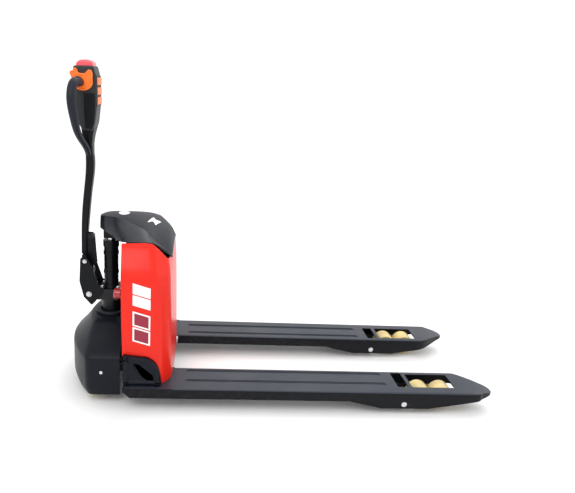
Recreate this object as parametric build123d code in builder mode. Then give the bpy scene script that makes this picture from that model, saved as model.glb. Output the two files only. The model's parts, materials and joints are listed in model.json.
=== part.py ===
"""Electric pallet truck: drive section, lifting chassis with two forks, and a folding tiller.

+X runs to the fork tips, +Y to the left, +Z up. The origin is on the floor, under the middle of the truck.
Left is the side at +Y. Millimetres.
"""

from build123d import *
from math import asin, atan2, cos, degrees, hypot, radians, sin
import os

os.makedirs("parts", exist_ok=True)

# ---- driving dimensions ----
OVERALL_LENGTH = 1528.0
OVERALL_WIDTH = 560.0
FORK_LENGTH = 1150.0
FORK_WIDTH = 150.0
FORK_TOP = 85.0
FORK_PLATE = 5.0
FORK_SKIRT = 48.0  # height of the fork's side edge above the floor
BELLY = 22.0  # the same, around the load wheels
LIFT = 110.0

ROLLER_DIA = 80.0
ROLLER_WIDTH = 60.0
ROLLER_PITCH = 83.0
DRIVE_WHEEL_DIA = 200.0
DRIVE_WHEEL_WIDTH = 70.0
CASTER_DIA = 60.0
CASTER_WIDTH = 24.0

MAST_SETBACK = 245.0  # steering axis, behind the fork heels
CHASSIS_DEPTH = 170.0  # chassis rear wall, behind the fork heels
CHASSIS_TOP = 565.0
SHOULDER = 470.0  # height where the side panels start to lean in
TOP_HALF = 192.0  # half the width over the side panels at their top
CHASSIS_PLATE = 6.0
PANEL_HALF = 250.0  # half the width over the side panels
PANEL_TOP = 574.0
PANEL_SKIN = 3.5
COWL_TOP = 625.0
COWL_NOSE = 280.0  # cowl nose, behind the fork heels
COWL_SKIN = 4.0

SHROUD_HALF = 240.0
SHROUD_LEDGE = 173.0  # top of the shroud's upright wall
SHROUD_TOP = 250.0
SHROUD_FOOT = 30.0
SHROUD_WALL = 4.0
SHROUD_TAPER = 0.45  # width of the shroud's top, as a share of its full width
SHROUD_FRONT = 183.0  # shroud's front edge, behind the fork heels
SHROUD_CORNER = 294.0  # where its side walls turn into the rear wall, behind the fork heels

CYLINDER_DIA = 51.0
CYLINDER_BORE = 42.0
ROD_DIA = 30.0
CYLINDER_TOP = 523.0
BLOCK_BOTTOM = 301.0
BLOCK_TOP = 342.0

TILLER_SETBACK = 319.0  # tiller pivot, behind the fork heels
TILLER_PIVOT_Z = 325.0
HEAD_TOP = 1116.0
HANDLE_TOP = 1133.0
HEAD_HALF = 45.0
GRIP_DIA = 28.0
GRIP_REACH = 150.0
ARM_HALF = 18.0

ROCKER_ARM = 180.0
ROCKER_LEVER_PIN = 12.0
SHAFT_Z = 104.0
SHAFT_SETBACK = 65.0
SHAFT_DIA = 30.0
LOAD_PIVOT_X = 814.0  # load frame pivot, ahead of the fork heels
LOAD_PIVOT_Z = 38.0
LOAD_PIN_DIA = 20.0
LOAD_ARM = 119.5
LUG_RADIUS = 28.0

RUNNING = 0.05  # radial clearance of a turning or sliding fit
GAP = 0.5  # clearance between parts that only stand side by side

# ---- derived places ----
HEEL = OVERALL_LENGTH / 2 - FORK_LENGTH
REAR = -OVERALL_LENGTH / 2
TIP = OVERALL_LENGTH / 2
FORK_OUTER = OVERALL_WIDTH / 2
FORK_INNER = FORK_OUTER - FORK_WIDTH
FORK_MID = FORK_OUTER - FORK_WIDTH / 2
MAST_X = HEEL - MAST_SETBACK
WALL_X = HEEL - CHASSIS_DEPTH
TILLER_X = HEEL - TILLER_SETBACK
SHAFT_X = HEEL - SHAFT_SETBACK
PIVOT_X = HEEL + LOAD_PIVOT_X
ROLLER_Z = ROLLER_DIA / 2
WHEEL_Z = DRIVE_WHEEL_DIA / 2
SIDES = ((1, "left"), (-1, "right"))

# The linkage: the load frames drop by LIFT as the chassis rises by LIFT.
REST_TILT = asin((ROLLER_Z - LOAD_PIVOT_Z) / LOAD_ARM)
LOAD_SWING = asin((LOAD_PIVOT_Z - ROLLER_Z + LIFT) / LOAD_ARM) + REST_TILT
BOGIE_X = PIVOT_X + LOAD_ARM * cos(REST_TILT)
ROCKER_HALF = asin(LIFT / 2 / ROCKER_ARM)
ROD_TRAVEL = 2 * LUG_RADIUS * sin(LOAD_SWING / 2)
LEVER = ROD_TRAVEL / 2 / sin(ROCKER_HALF)
GROUND_PIN_X = SHAFT_X - ROCKER_ARM * cos(ROCKER_HALF)
GROUND_PIN_Z = SHAFT_Z + LIFT / 2
ROD_REAR = (SHAFT_X - ROD_TRAVEL / 2, SHAFT_Z - LEVER * cos(ROCKER_HALF))
ROD_FRONT = (PIVOT_X - ROD_TRAVEL / 2, LOAD_PIVOT_Z + LUG_RADIUS * cos(LOAD_SWING / 2))


def at(ahead):
    """The x of a place that is this far ahead of the fork heels."""
    return HEEL + ahead


def side_plane(y):
    """The XZ plane at this y. A positive extrusion from it goes towards -Y."""
    return Plane.XZ.offset(-y)


def save(part, name):
    part.label = name
    export_step(part, f"parts/{name}.step")


# ---- forks ----
SKIRT_END, RAMP_END, BELLY_END = 614.0, 735.0, 903.0
NOSE_START, NOSE_SIDE_Z, NOSE_TOP_Z = 1030.0, 64.0, 71.0
NOSE_INNER = ((-141, 0), (-80, 24), (-20, 67), (0, 97))  # ahead of the tip, in from the fork's inner edge
NOSE_OUTER = ((0, 97), (-14, 122), (-47, 138), (-132, FORK_WIDTH))
WINDOW_START, WINDOW_END, WINDOW_IN, WINDOW_OUT = 852.0, 1010.0, 21.0, 110.0
SLOT_START, SLOT_END, SLOT_IN, SLOT_OUT = 799.0, 838.0, 14.0, 110.0
GROOVE_START, GROOVE_END, GROOVE_WIDTH, GROOVE_DEPTH = 40.0, 760.0, 24.0, 1.4
GROOVE_STEP = 5.0  # how much narrower each deeper step of a groove is, on each side
GROOVES = (27.0, 95.0)  # centres, in from the fork's inner edge
FORK_BEND = 8.0


def fork_block(side, wall):
    """The fork's outline, moved in by wall. With a wall it is open below and at the heel."""
    inner = FORK_INNER + wall
    outer = FORK_OUTER - wall
    low = -1.0 if wall else 0.0
    with BuildPart() as block:
        with BuildSketch(Plane.YZ.offset(HEEL)) as section:
            with Locations((side * (inner + outer) / 2, (FORK_TOP - wall + low) / 2)):
                Rectangle(outer - inner, FORK_TOP - wall - low)
            fillet(section.vertices().group_by(Axis.Y)[-1], FORK_BEND - wall)
        extrude(amount=FORK_LENGTH - 2 * wall)
        with BuildSketch(side_plane(side * FORK_MID)):
            with BuildLine():
                skirt = low if wall else FORK_SKIRT
                belly = low if wall else BELLY
                nose = low if wall else NOSE_SIDE_Z
                Polyline(
                    (HEEL, FORK_TOP - wall),
                    (HEEL, skirt),
                    (at(SKIRT_END), skirt),
                    (at(RAMP_END), belly),
                    (at(BELLY_END), belly),
                    (TIP, nose),
                    (TIP, NOSE_TOP_Z - wall),
                )
                Spline(
                    (TIP, NOSE_TOP_Z - wall),
                    (at(NOSE_START), FORK_TOP - wall),
                    tangents=((-1, 0.32), (-1, 0)),
                )
                Line((at(NOSE_START), FORK_TOP - wall), (HEEL, FORK_TOP - wall))
            make_face()
        extrude(amount=FORK_WIDTH, both=True, mode=Mode.INTERSECT)
        with BuildSketch():
            with BuildLine():
                edge_in = [(TIP - wall + x, side * (inner + y * (1 - wall / FORK_MID))) for x, y in NOSE_INNER]
                edge_out = [(TIP - wall + x, side * (inner + y * (1 - wall / FORK_MID))) for x, y in NOSE_OUTER]
                edge_out[-1] = (edge_out[-1][0], side * outer)
                Spline(*edge_in, tangents=((1, 0), (0, side)))
                Spline(*edge_out, tangents=((0, side), (-1, 0)))
                Polyline(edge_out[-1], (HEEL, side * outer), (HEEL, side * inner), edge_in[0])
            make_face()
        extrude(amount=FORK_TOP, both=True, mode=Mode.INTERSECT)
    return block.part


for side, name in SIDES:
    shape = fork_block(side, 0)
    hollow = fork_block(side, FORK_PLATE)
    with BuildPart() as fork:
        add(shape)
        add(hollow, mode=Mode.SUBTRACT)
        with BuildSketch(Plane.XY.offset(FORK_TOP)) as openings:
            for start, end, near, far in (
                (WINDOW_START, WINDOW_END, WINDOW_IN, WINDOW_OUT),
                (SLOT_START, SLOT_END, SLOT_IN, SLOT_OUT),
            ):
                with Locations((at((start + end) / 2), side * (FORK_INNER + (near + far) / 2))):
                    RectangleRounded(end - start, far - near, 5)
        extrude(amount=-2 * FORK_PLATE, mode=Mode.SUBTRACT)
        for step in (0, 1):
            inset = 2 * GROOVE_STEP * step
            with BuildSketch(Plane.XY.offset(FORK_TOP)):
                for near in GROOVES:
                    with Locations((at((GROOVE_START + GROOVE_END) / 2), side * (FORK_INNER + near))):
                        SlotOverall(GROOVE_END - GROOVE_START - inset, GROOVE_WIDTH - inset)
            extrude(amount=-GROOVE_DEPTH * (step + 1), mode=Mode.SUBTRACT)
        with BuildSketch(side_plane(side * FORK_MID)):
            with Locations((PIVOT_X, LOAD_PIVOT_Z)):
                Circle(LOAD_PIN_DIA / 2)
        extrude(amount=FORK_WIDTH, both=True, mode=Mode.SUBTRACT)
    save(fork.part, f"fork_{name}")

with BuildPart() as pivot_pins:
    for side, name in SIDES:
        with BuildSketch(side_plane(side * FORK_MID)):
            with Locations((PIVOT_X, LOAD_PIVOT_Z)):
                Circle(LOAD_PIN_DIA / 2)
        extrude(amount=FORK_WIDTH / 2 - GAP, both=True)
save(pivot_pins.part, "pivot_pins")

# ---- load wheels, their bogies and the frames that lower them ----
BOGIE_PLATE_IN, BOGIE_PLATE_OUT = 31.5, 36.0  # from the fork's middle
ARM_IN, ARM_OUT = 38.0, 44.0
AXLE_DIA = 16.0
STUB_DIA = 18.0
TUBE_DIA = 27.0
LUG_IN, LUG_OUT = 7.0, 13.0
LUG_PIN_DIA = 10.0
ROLLER_BORE = 20.0
LUG_X = PIVOT_X + LUG_RADIUS * sin(-LOAD_SWING / 2)
LUG_Z = LOAD_PIVOT_Z + LUG_RADIUS * cos(LOAD_SWING / 2)
ROLLER_X = (BOGIE_X - ROLLER_PITCH / 2, BOGIE_X + ROLLER_PITCH / 2)


def disc(x, z, dia, y, half):
    """A cylinder along Y, added to the part that is being built: centred at y, half as long as this each way."""
    with BuildSketch(side_plane(y)) as face:
        with Locations((x, z)):
            Circle(dia / 2)
    extrude(face.sketch, amount=half, both=True)


def bore(x, z, dia, y, half):
    """The same cylinder, cut away."""
    with BuildSketch(side_plane(y)) as face:
        with Locations((x, z)):
            Circle(dia / 2)
    extrude(face.sketch, amount=half, both=True, mode=Mode.SUBTRACT)


def link(ends, widths, y, thick):
    """A flat link along Y planes, from end to end, y to y + thick, rounded around each end."""
    (x1, z1), (x2, z2) = ends
    with BuildSketch(side_plane(y)) as face:
        with BuildLine():
            run = hypot(x2 - x1, z2 - z1)
            ax, az = (x2 - x1) / run, (z2 - z1) / run
            a, b = widths[0] / 2, widths[1] / 2
            Polyline(
                (x1 - az * a, z1 + ax * a),
                (x2 - az * b, z2 + ax * b),
                (x2 + az * b, z2 - ax * b),
                (x1 + az * a, z1 - ax * a),
                close=True,
            )
        make_face()
        with Locations((x1, z1)):
            Circle(widths[0] / 2)
        with Locations((x2, z2)):
            Circle(widths[1] / 2)
    extrude(face.sketch, amount=-thick)


for side, name in SIDES:
    mid = side * FORK_MID
    with BuildPart() as load_frame:
        for y in (mid + ARM_IN, mid - ARM_OUT):
            link(((PIVOT_X, LOAD_PIVOT_Z), (BOGIE_X, ROLLER_Z)), (30, 28), y, ARM_OUT - ARM_IN)
        disc(PIVOT_X, LOAD_PIVOT_Z, TUBE_DIA, mid, ARM_OUT)
        for y in (mid + LUG_IN, mid - LUG_OUT):
            link(((PIVOT_X, LOAD_PIVOT_Z), (LUG_X, LUG_Z)), (TUBE_DIA, 17), y, LUG_OUT - LUG_IN)
        disc(LUG_X, LUG_Z, LUG_PIN_DIA, mid, LUG_OUT)
        bore(PIVOT_X, LOAD_PIVOT_Z, LOAD_PIN_DIA + 2 * RUNNING, mid, FORK_WIDTH)
        for y in (mid + (ARM_IN + ARM_OUT) / 2, mid - (ARM_IN + ARM_OUT) / 2):
            bore(BOGIE_X, ROLLER_Z, STUB_DIA + 2 * RUNNING, y, ARM_OUT - ARM_IN)
    save(load_frame.part, f"load_frame_{name}")

    with BuildPart() as bogie:
        for y in (mid + BOGIE_PLATE_IN, mid - BOGIE_PLATE_OUT):
            link(((ROLLER_X[0], ROLLER_Z), (ROLLER_X[1], ROLLER_Z)), (34, 34), y, BOGIE_PLATE_OUT - BOGIE_PLATE_IN)
        for x in ROLLER_X:
            disc(x, ROLLER_Z, AXLE_DIA, mid, BOGIE_PLATE_OUT)
        for y in (mid + (BOGIE_PLATE_OUT + ARM_OUT) / 2, mid - (BOGIE_PLATE_OUT + ARM_OUT) / 2):
            disc(BOGIE_X, ROLLER_Z, STUB_DIA, y, (ARM_OUT - BOGIE_PLATE_OUT) / 2)
    save(bogie.part, f"bogie_{name}")

    for x, place in zip(ROLLER_X, ("rear", "front")):
        with BuildPart() as roller:
            disc(x, ROLLER_Z, ROLLER_DIA, mid, ROLLER_WIDTH / 2)
            chamfer(roller.edges().filter_by(GeomType.CIRCLE), 2)
            bore(x, ROLLER_Z, AXLE_DIA + 2 * RUNNING, mid, ROLLER_WIDTH)
        save(roller.part, f"roller_{name}_{place}")

# ---- push rods: a clevis around the rocker's lever, a bar down the fork, a slotted eye between the lugs ----
ROD_HALF = 6.0
ROD_DEPTH = 14.0
LEVER_HALF = 6.0
CLEVIS_IN, CLEVIS_OUT = 7.0, 12.0
EYE_LIFT = LUG_RADIUS - LUG_RADIUS * cos(LOAD_SWING / 2)  # how far the lug pin rises in the eye at mid travel
CLEVIS_ROOT = 34.0
EYE_HALF = LUG_PIN_DIA / 2 + 4.0
for side, name in SIDES:
    mid = side * FORK_MID
    with BuildPart() as push_rod:
        for y in (mid + CLEVIS_IN, mid - CLEVIS_OUT):
            link((ROD_REAR, (ROD_REAR[0] + CLEVIS_ROOT, ROD_REAR[1])), (18, 16), y, CLEVIS_OUT - CLEVIS_IN)
        disc(ROD_REAR[0], ROD_REAR[1], ROCKER_LEVER_PIN, mid, CLEVIS_OUT)
        with BuildSketch(side_plane(mid)):
            with Locations((ROD_REAR[0] + CLEVIS_ROOT, ROD_REAR[1])):
                Rectangle(16, 16)
        extrude(amount=CLEVIS_OUT, both=True)
        link(((ROD_REAR[0] + CLEVIS_ROOT, ROD_REAR[1]), ROD_FRONT), (ROD_DEPTH, ROD_DEPTH), mid - ROD_HALF, 2 * ROD_HALF)
        with BuildSketch(side_plane(mid)):
            with Locations((ROD_FRONT[0], ROD_FRONT[1] + EYE_LIFT / 2)):
                SlotCenterToCenter(EYE_LIFT, 2 * EYE_HALF, rotation=90)
        extrude(amount=ROD_HALF, both=True)
        with BuildSketch(side_plane(mid)):
            with Locations((ROD_FRONT[0], ROD_FRONT[1] + EYE_LIFT / 2)):
                SlotCenterToCenter(EYE_LIFT + 0.6, LUG_PIN_DIA + 1.0, rotation=90)
        extrude(amount=ROD_HALF, both=True, mode=Mode.SUBTRACT)
    save(push_rod.part, f"push_rod_{name}")

# ---- rocker: a cross shaft, two arms back to the base and two levers down to the push rods ----
ARM_Y, ARM_THICK = 130.0, 12.0
GROUND_PIN_DIA = 14.0
SLOT_RUN = ROCKER_ARM - ROCKER_ARM * cos(ROCKER_HALF)
BEARING_IN, BEARING_OUT = 220.0, 232.0
with BuildPart() as rocker:
    disc(SHAFT_X, SHAFT_Z, SHAFT_DIA, 0, BEARING_OUT - GAP)
    for side, name in SIDES:
        low = min(side * ARM_Y, side * (ARM_Y + ARM_THICK))
        link(((SHAFT_X, SHAFT_Z), (GROUND_PIN_X, GROUND_PIN_Z)), (46, 30), low, ARM_THICK)
        link(((SHAFT_X, SHAFT_Z), ROD_REAR), (42, 24), side * FORK_MID - LEVER_HALF, 2 * LEVER_HALF)
        arm_turn = degrees(atan2(GROUND_PIN_Z - SHAFT_Z, GROUND_PIN_X - SHAFT_X))
        ux, uz = cos(radians(arm_turn)), sin(radians(arm_turn))
        with BuildSketch(side_plane(side * (ARM_Y + ARM_THICK / 2))):
            with Locations((GROUND_PIN_X - ux * SLOT_RUN / 2, GROUND_PIN_Z - uz * SLOT_RUN / 2)):
                SlotCenterToCenter(SLOT_RUN + 0.6, GROUND_PIN_DIA + 2.2, rotation=arm_turn)
        extrude(amount=ARM_THICK, both=True, mode=Mode.SUBTRACT)
        lever_turn = degrees(atan2(ROD_REAR[1] - SHAFT_Z, ROD_REAR[0] - SHAFT_X))
        lx, lz = cos(radians(lever_turn)), sin(radians(lever_turn))
        lever_run = LEVER - LEVER * cos(ROCKER_HALF)
        with BuildSketch(side_plane(side * FORK_MID)):
            with Locations((ROD_REAR[0] - lx * lever_run / 2, ROD_REAR[1] - lz * lever_run / 2)):
                SlotCenterToCenter(lever_run + 0.6, ROCKER_LEVER_PIN + 1.0, rotation=lever_turn)
        extrude(amount=ARM_THICK, both=True, mode=Mode.SUBTRACT)
save(rocker.part, "rocker")

# ---- chassis frame ----
TRAY_Z = 184.0
SIDE_WALL = PANEL_HALF - 12.0  # outer face of the side walls
SIDE_WALL_FRONT = -70.0
FRONT_WALL = -44.0
FRONT_HALF = 190.0
FRONT_BOTTOM, FRONT_TOP = 132.0, 505.0
HEEL_PLATE = -36.0
CROWN_BOTTOM, CROWN_TOP, CROWN_HALF = 535.0, 562.0, 30.0
CROWN_START = MAST_SETBACK + 22.0
STOP_Y, STOP_Z = -165.0, 381.0


def box(x1, x2, y1, y2, z1, z2, mode=Mode.ADD):
    """A block between these corners, with x counted from the fork heels."""
    with BuildSketch(Plane.XY.offset(z1)) as face:
        with Locations((at((x1 + x2) / 2), (y1 + y2) / 2)):
            Rectangle(abs(x2 - x1), abs(y2 - y1))
    extrude(face.sketch, amount=z2 - z1, mode=mode)


with BuildPart() as chassis_frame:
    rear = -CHASSIS_DEPTH
    lean = (PANEL_HALF - TOP_HALF) / (PANEL_TOP - SHOULDER)
    wall_top_half = SIDE_WALL - lean * (CHASSIS_TOP - SHOULDER)
    with BuildSketch(Plane.YZ.offset(WALL_X)):
        with BuildLine():
            Polyline(
                (-SIDE_WALL, TRAY_Z),
                (-SIDE_WALL, SHOULDER),
                (-wall_top_half, CHASSIS_TOP),
                (wall_top_half, CHASSIS_TOP),
                (SIDE_WALL, SHOULDER),
                (SIDE_WALL, TRAY_Z),
                close=True,
            )
        make_face()
    extrude(amount=CHASSIS_PLATE)
    box(rear, FRONT_WALL, -SIDE_WALL + CHASSIS_PLATE, SIDE_WALL - CHASSIS_PLATE, TRAY_Z, TRAY_Z + CHASSIS_PLATE)
    box(SIDE_WALL_FRONT, FRONT_WALL, FRONT_HALF, SIDE_WALL, TRAY_Z, TRAY_Z + CHASSIS_PLATE, mode=Mode.SUBTRACT)
    box(SIDE_WALL_FRONT, FRONT_WALL, -SIDE_WALL, -FRONT_HALF, TRAY_Z, TRAY_Z + CHASSIS_PLATE, mode=Mode.SUBTRACT)
    box(FRONT_WALL - CHASSIS_PLATE, FRONT_WALL, -FRONT_HALF, FRONT_HALF, FRONT_BOTTOM, FRONT_TOP)
    box(-CROWN_START, FRONT_WALL, -CROWN_HALF, CROWN_HALF, CROWN_BOTTOM, CROWN_TOP)
    box(FRONT_WALL - CHASSIS_PLATE, FRONT_WALL, -CROWN_HALF, CROWN_HALF, FRONT_TOP, CROWN_BOTTOM)
    for side, name in SIDES:
        inner_y, outer_y = side * (SIDE_WALL - CHASSIS_PLATE), side * SIDE_WALL
        box(rear, SIDE_WALL_FRONT, inner_y, outer_y, FORK_TOP - FORK_PLATE, SHOULDER)
        box(rear, 0, inner_y, side * FORK_OUTER, FORK_TOP - FORK_PLATE, FORK_TOP)
        box(rear, 0, side * (FORK_OUTER - CHASSIS_PLATE), side * FORK_OUTER, FORK_SKIRT, FORK_TOP)
        box(HEEL_PLATE, 0, side * FORK_INNER, side * FORK_OUTER, FORK_TOP - FORK_PLATE, FORK_TOP)
        disc(SHAFT_X, SHAFT_Z, SHAFT_DIA + 26, side * (BEARING_IN + BEARING_OUT) / 2, (BEARING_OUT - BEARING_IN) / 2)
        bore(SHAFT_X, SHAFT_Z, SHAFT_DIA + 2 * RUNNING, side * BEARING_IN, BEARING_OUT - BEARING_IN)
    with BuildSketch(Plane.XY.offset(CROWN_BOTTOM)):
        with Locations((MAST_X, 0)):
            Circle(ROD_DIA / 2)
    extrude(amount=CROWN_TOP - CROWN_BOTTOM, mode=Mode.SUBTRACT)
    corner = chassis_frame.edges().filter_by(Axis.Y).group_by(Axis.Z)[0].sort_by(Axis.X)
    chamfer([e for e in corner if e.center().X < WALL_X + 1], 22, 24)
save(chassis_frame.part, "chassis_frame")

# ---- battery, controller and pump inside the chassis ----
BATTERY_HALF, BATTERY_TOP = 150.0, 400.0
with BuildPart() as battery:
    box(-158, -60, -BATTERY_HALF, BATTERY_HALF, TRAY_Z + CHASSIS_PLATE, BATTERY_TOP)
    fillet(battery.edges().filter_by(Axis.Z), 8)
    for y in (-BATTERY_HALF * 0.6, BATTERY_HALF * 0.6):
        with BuildSketch(Plane.XY.offset(BATTERY_TOP)):
            with Locations((at(-105), y)):
                Circle(9)
        extrude(amount=12)
save(battery.part, "battery")

with BuildPart() as controller:
    box(FRONT_WALL - CHASSIS_PLATE - 12, FRONT_WALL - CHASSIS_PLATE, -90, 90, 420, 525)
    for k in range(9):
        box(FRONT_WALL - CHASSIS_PLATE - 30, FRONT_WALL - CHASSIS_PLATE - 12, -82 + 20 * k, -78 + 20 * k, 424, 521)
save(controller.part, "controller")

PUMP_Y, PUMP_Z = 120.0, 470.0
with BuildPart() as pump_unit:
    box(rear + CHASSIS_PLATE, rear + CHASSIS_PLATE + 70, -200, -40, 425, 520)
    fillet(pump_unit.edges().filter_by(Axis.X), 14)
    with BuildSketch(Plane.XZ.offset(40)):
        with Locations((at(rear + CHASSIS_PLATE + 40), PUMP_Z)):
            Rectangle(60, 60)
    extrude(amount=-24)
    with BuildSketch(Plane.XZ.offset(40 - 24)):
        with Locations((at(rear + CHASSIS_PLATE + 40), PUMP_Z)):
            Circle(38)
    extrude(amount=-PUMP_Y)
save(pump_unit.part, "pump_unit")

# ---- red panels ----
ARCH = ((-97, 190), (-72, 178), (-55, 160), (-45, 140), (-41, 86))
PANEL_LEVELS = (  # height, rear, crease and front behind the heels, half width, half width in front
    (FORK_TOP + 1, -171, -40, -10, PANEL_HALF, PANEL_HALF - 45),
    (300.0, -176, -47, -14, PANEL_HALF, PANEL_HALF - 45),
    (SHOULDER, -178, -64, -20, PANEL_HALF, PANEL_HALF - 45),
    (PANEL_TOP + 2, -182, -80, -40, TOP_HALF, TOP_HALF - 42),
)
FRONT_BULGE = 8.0
PANEL_END = PANEL_LEVELS[0][3] + FRONT_BULGE + 4  # just ahead of the panels
PANEL_SPLIT = PANEL_HALF - 53.0  # where the side panels meet the front panel


def panel_block(skin):
    """The panels' outline as one block, moved in by skin."""
    with BuildPart() as block:
        for z, rear_x, crease, front, half, front_half in PANEL_LEVELS:
            near, far = half - skin, front_half - skin / 2
            with BuildSketch(Plane.XY.offset(z)):
                with BuildLine():
                    Polyline(
                        (at(front - skin), -far),
                        (at(crease - skin / 2), -near),
                        (at(rear_x - skin), -near),
                        (at(rear_x - skin), near),
                        (at(crease - skin / 2), near),
                        (at(front - skin), far),
                    )
                    ThreePointArc(
                        (at(front - skin), far), (at(front - skin + FRONT_BULGE), 0), (at(front - skin), -far)
                    )
                make_face()
        loft(ruled=True)
    return block.part


def below_cowl():
    """The outline, seen from the side, of what lies under the cowl's lower edge."""
    Polyline(
        (at(-CHASSIS_DEPTH - 20), FORK_TOP),
        (at(-CHASSIS_DEPTH - 20), PANEL_TOP - 4),
        (at(-181), PANEL_TOP - 4),
        (at(-140), PANEL_TOP - 2),
        (at(-106), PANEL_TOP),
        (at(-80), PANEL_TOP - 3),
        (at(-57), PANEL_TOP - 25),
        (at(-33), PANEL_TOP - 54),
        (at(-19), PANEL_TOP - 67),
        (at(PANEL_END), PANEL_TOP - 80),
        (at(PANEL_END), FORK_TOP),
        close=True,
    )


skin_outer = panel_block(0)
skin_inner = panel_block(PANEL_SKIN)
for side, name in SIDES:
    with BuildPart() as side_panel:
        add(skin_outer)
        add(skin_inner, mode=Mode.SUBTRACT)
        with BuildSketch(side_plane(side * PANEL_HALF)):
            with BuildLine():
                below_cowl()
            make_face()
        extrude(amount=side * (PANEL_HALF - PANEL_SPLIT), mode=Mode.INTERSECT)
        with BuildSketch(side_plane(side * PANEL_HALF)):
            with BuildLine():
                arch = [(at(x), z) for x, z in ARCH]
                outside = at(-CHASSIS_DEPTH - 20)
                Line((outside, ARCH[0][1]), arch[0])
                Spline(*arch, tangents=((1, 0), (0.1, -1)))
                Polyline(arch[-1], (arch[-1][0], 0), (outside, 0), (outside, ARCH[0][1]))
            make_face()
        extrude(amount=side * PANEL_HALF / 4, both=True, mode=Mode.SUBTRACT)
    save(side_panel.part, f"side_panel_{name}")

with BuildPart() as front_panel:
    add(skin_outer)
    add(skin_inner, mode=Mode.SUBTRACT)
    with BuildSketch(Plane.XZ):
        with BuildLine():
            below_cowl()
        make_face()
    extrude(amount=PANEL_SPLIT - GAP, both=True, mode=Mode.INTERSECT)
save(front_panel.part, "front_panel")

# ---- arch covers over the lower side plates ----
COVER_IN, COVER_OUT, COVER_SKIN = 252.0, 268.0, 3.0
COVER_ARCH = ((-95, 199), (-67, 183), (-51, 155), (-44, 118), (-42, FORK_TOP))


def cover_outline(inset):
    arch = [(at(x - inset), z - inset * 0.7) for x, z in COVER_ARCH]
    arch[0] = (at(COVER_ARCH[0][0]), COVER_ARCH[0][1] - inset)
    arch[-1] = (at(COVER_ARCH[-1][0] - inset), FORK_TOP)
    corner = at(-CHASSIS_DEPTH + inset)
    Polyline(arch[-1], (corner, FORK_TOP), (corner, arch[0][1]), arch[0])
    Spline(*arch, tangents=((1, 0), (0.05, -1)))


with BuildPart() as arch_covers:
    for side, name in SIDES:
        with BuildSketch(side_plane(side * COVER_OUT)):
            with BuildLine():
                cover_outline(0)
            make_face()
        extrude(amount=side * (COVER_OUT - COVER_IN))
        with BuildSketch(side_plane(side * COVER_IN)):
            with BuildLine():
                cover_outline(COVER_SKIN)
            make_face()
        extrude(amount=-side * (COVER_OUT - COVER_IN - COVER_SKIN), mode=Mode.SUBTRACT)
        with BuildSketch(side_plane(side * COVER_OUT)):
            with Locations((at(-92), 135)):
                Rectangle(26, 12)
        extrude(amount=side * 1.5, mode=Mode.SUBTRACT)
save(arch_covers.part, "arch_covers")

# ---- cowl: stations along X, each (x, lower half width, lower z, crease half width, crease z, top z) ----
COWL_STATIONS = (
    (-COWL_NOSE, 20, -3, 9, -14, -12),
    (-266, 44, -4, 26, -9, -5),
    (-252, 68, -5, 38, -7, -3),
    (-228, 101, -5, 45, -7, -1),
    (-200, 163, -4, 54, -9, 0),
    (-182, TOP_HALF, -3, 66, -13, 0),
    (-140, TOP_HALF, -1, 98, -22, -2),
    (-106, TOP_HALF, 1, 125, -31, -7),
    (-92, TOP_HALF, 0, 146, -46, -12),
    (-80, TOP_HALF - 2, -2, 168, -50, -20),
    (-57, TOP_HALF - 22, -24, 160, -68, -34),
    (-40, TOP_HALF - 38, -46, 148, -88, -46),
    (-28, TOP_HALF - 46, -57, 138, -98, -60),
    (-18, TOP_HALF - 54, -66, 126, -108, -90),
)  # lower z is counted from the panels' top, crease z and top z from the cowl's top


def cowl_block(skin):
    """The cowl's outline as one block, moved in by skin."""
    front = COWL_STATIONS[-1][0] - skin
    with BuildPart() as block:
        for x, low_half, low, high_half, high, top in COWL_STATIONS:
            with BuildSketch(Plane.YZ.offset(at(min(max(x, skin - COWL_NOSE), front)))):
                with BuildLine():
                    low_z = PANEL_TOP + low - 1.5 * skin
                    high_z, top_z = COWL_TOP + high - skin, COWL_TOP + top - skin
                    Polyline(
                        (-low_half + skin, low_z),
                        (-high_half + skin * 0.7, high_z),
                        (-high_half * 0.5, high_z + (top_z - high_z) * 0.7),
                        (0, top_z),
                        (high_half * 0.5, high_z + (top_z - high_z) * 0.7),
                        (high_half - skin * 0.7, high_z),
                        (low_half - skin, low_z),
                        close=True,
                    )
                make_face()
        loft(ruled=True)
    return block.part


cowl_outer = cowl_block(0)
cowl_inner = cowl_block(COWL_SKIN)
with BuildPart() as cowl:
    add(cowl_outer)
    add(cowl_inner, mode=Mode.SUBTRACT)
save(cowl.part, "cowl")

# ---- emergency stop ----
with BuildPart() as stop_collar:
    with BuildSketch(Plane.YZ.offset(WALL_X)):
        with Locations((STOP_Y, STOP_Z)):
            Circle(23)
            Circle(6 + RUNNING, mode=Mode.SUBTRACT)
    extrude(amount=-10)
save(stop_collar.part, "stop_collar")

STOP_TRAVEL = 6.0
with BuildPart() as stop_button:
    with BuildSketch(Plane.YZ.offset(WALL_X - 10 - STOP_TRAVEL - 2)):
        with Locations((STOP_Y, STOP_Z)):
            Circle(18)
    extrude(amount=-24)
    fillet(stop_button.edges().group_by(Axis.X)[0], 6)
    with BuildSketch(Plane.YZ.offset(WALL_X - 10 - STOP_TRAVEL - 2)):
        with Locations((STOP_Y, STOP_Z)):
            Circle(6)
    extrude(amount=10 + 1)
save(stop_button.part, "stop_button")

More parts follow.
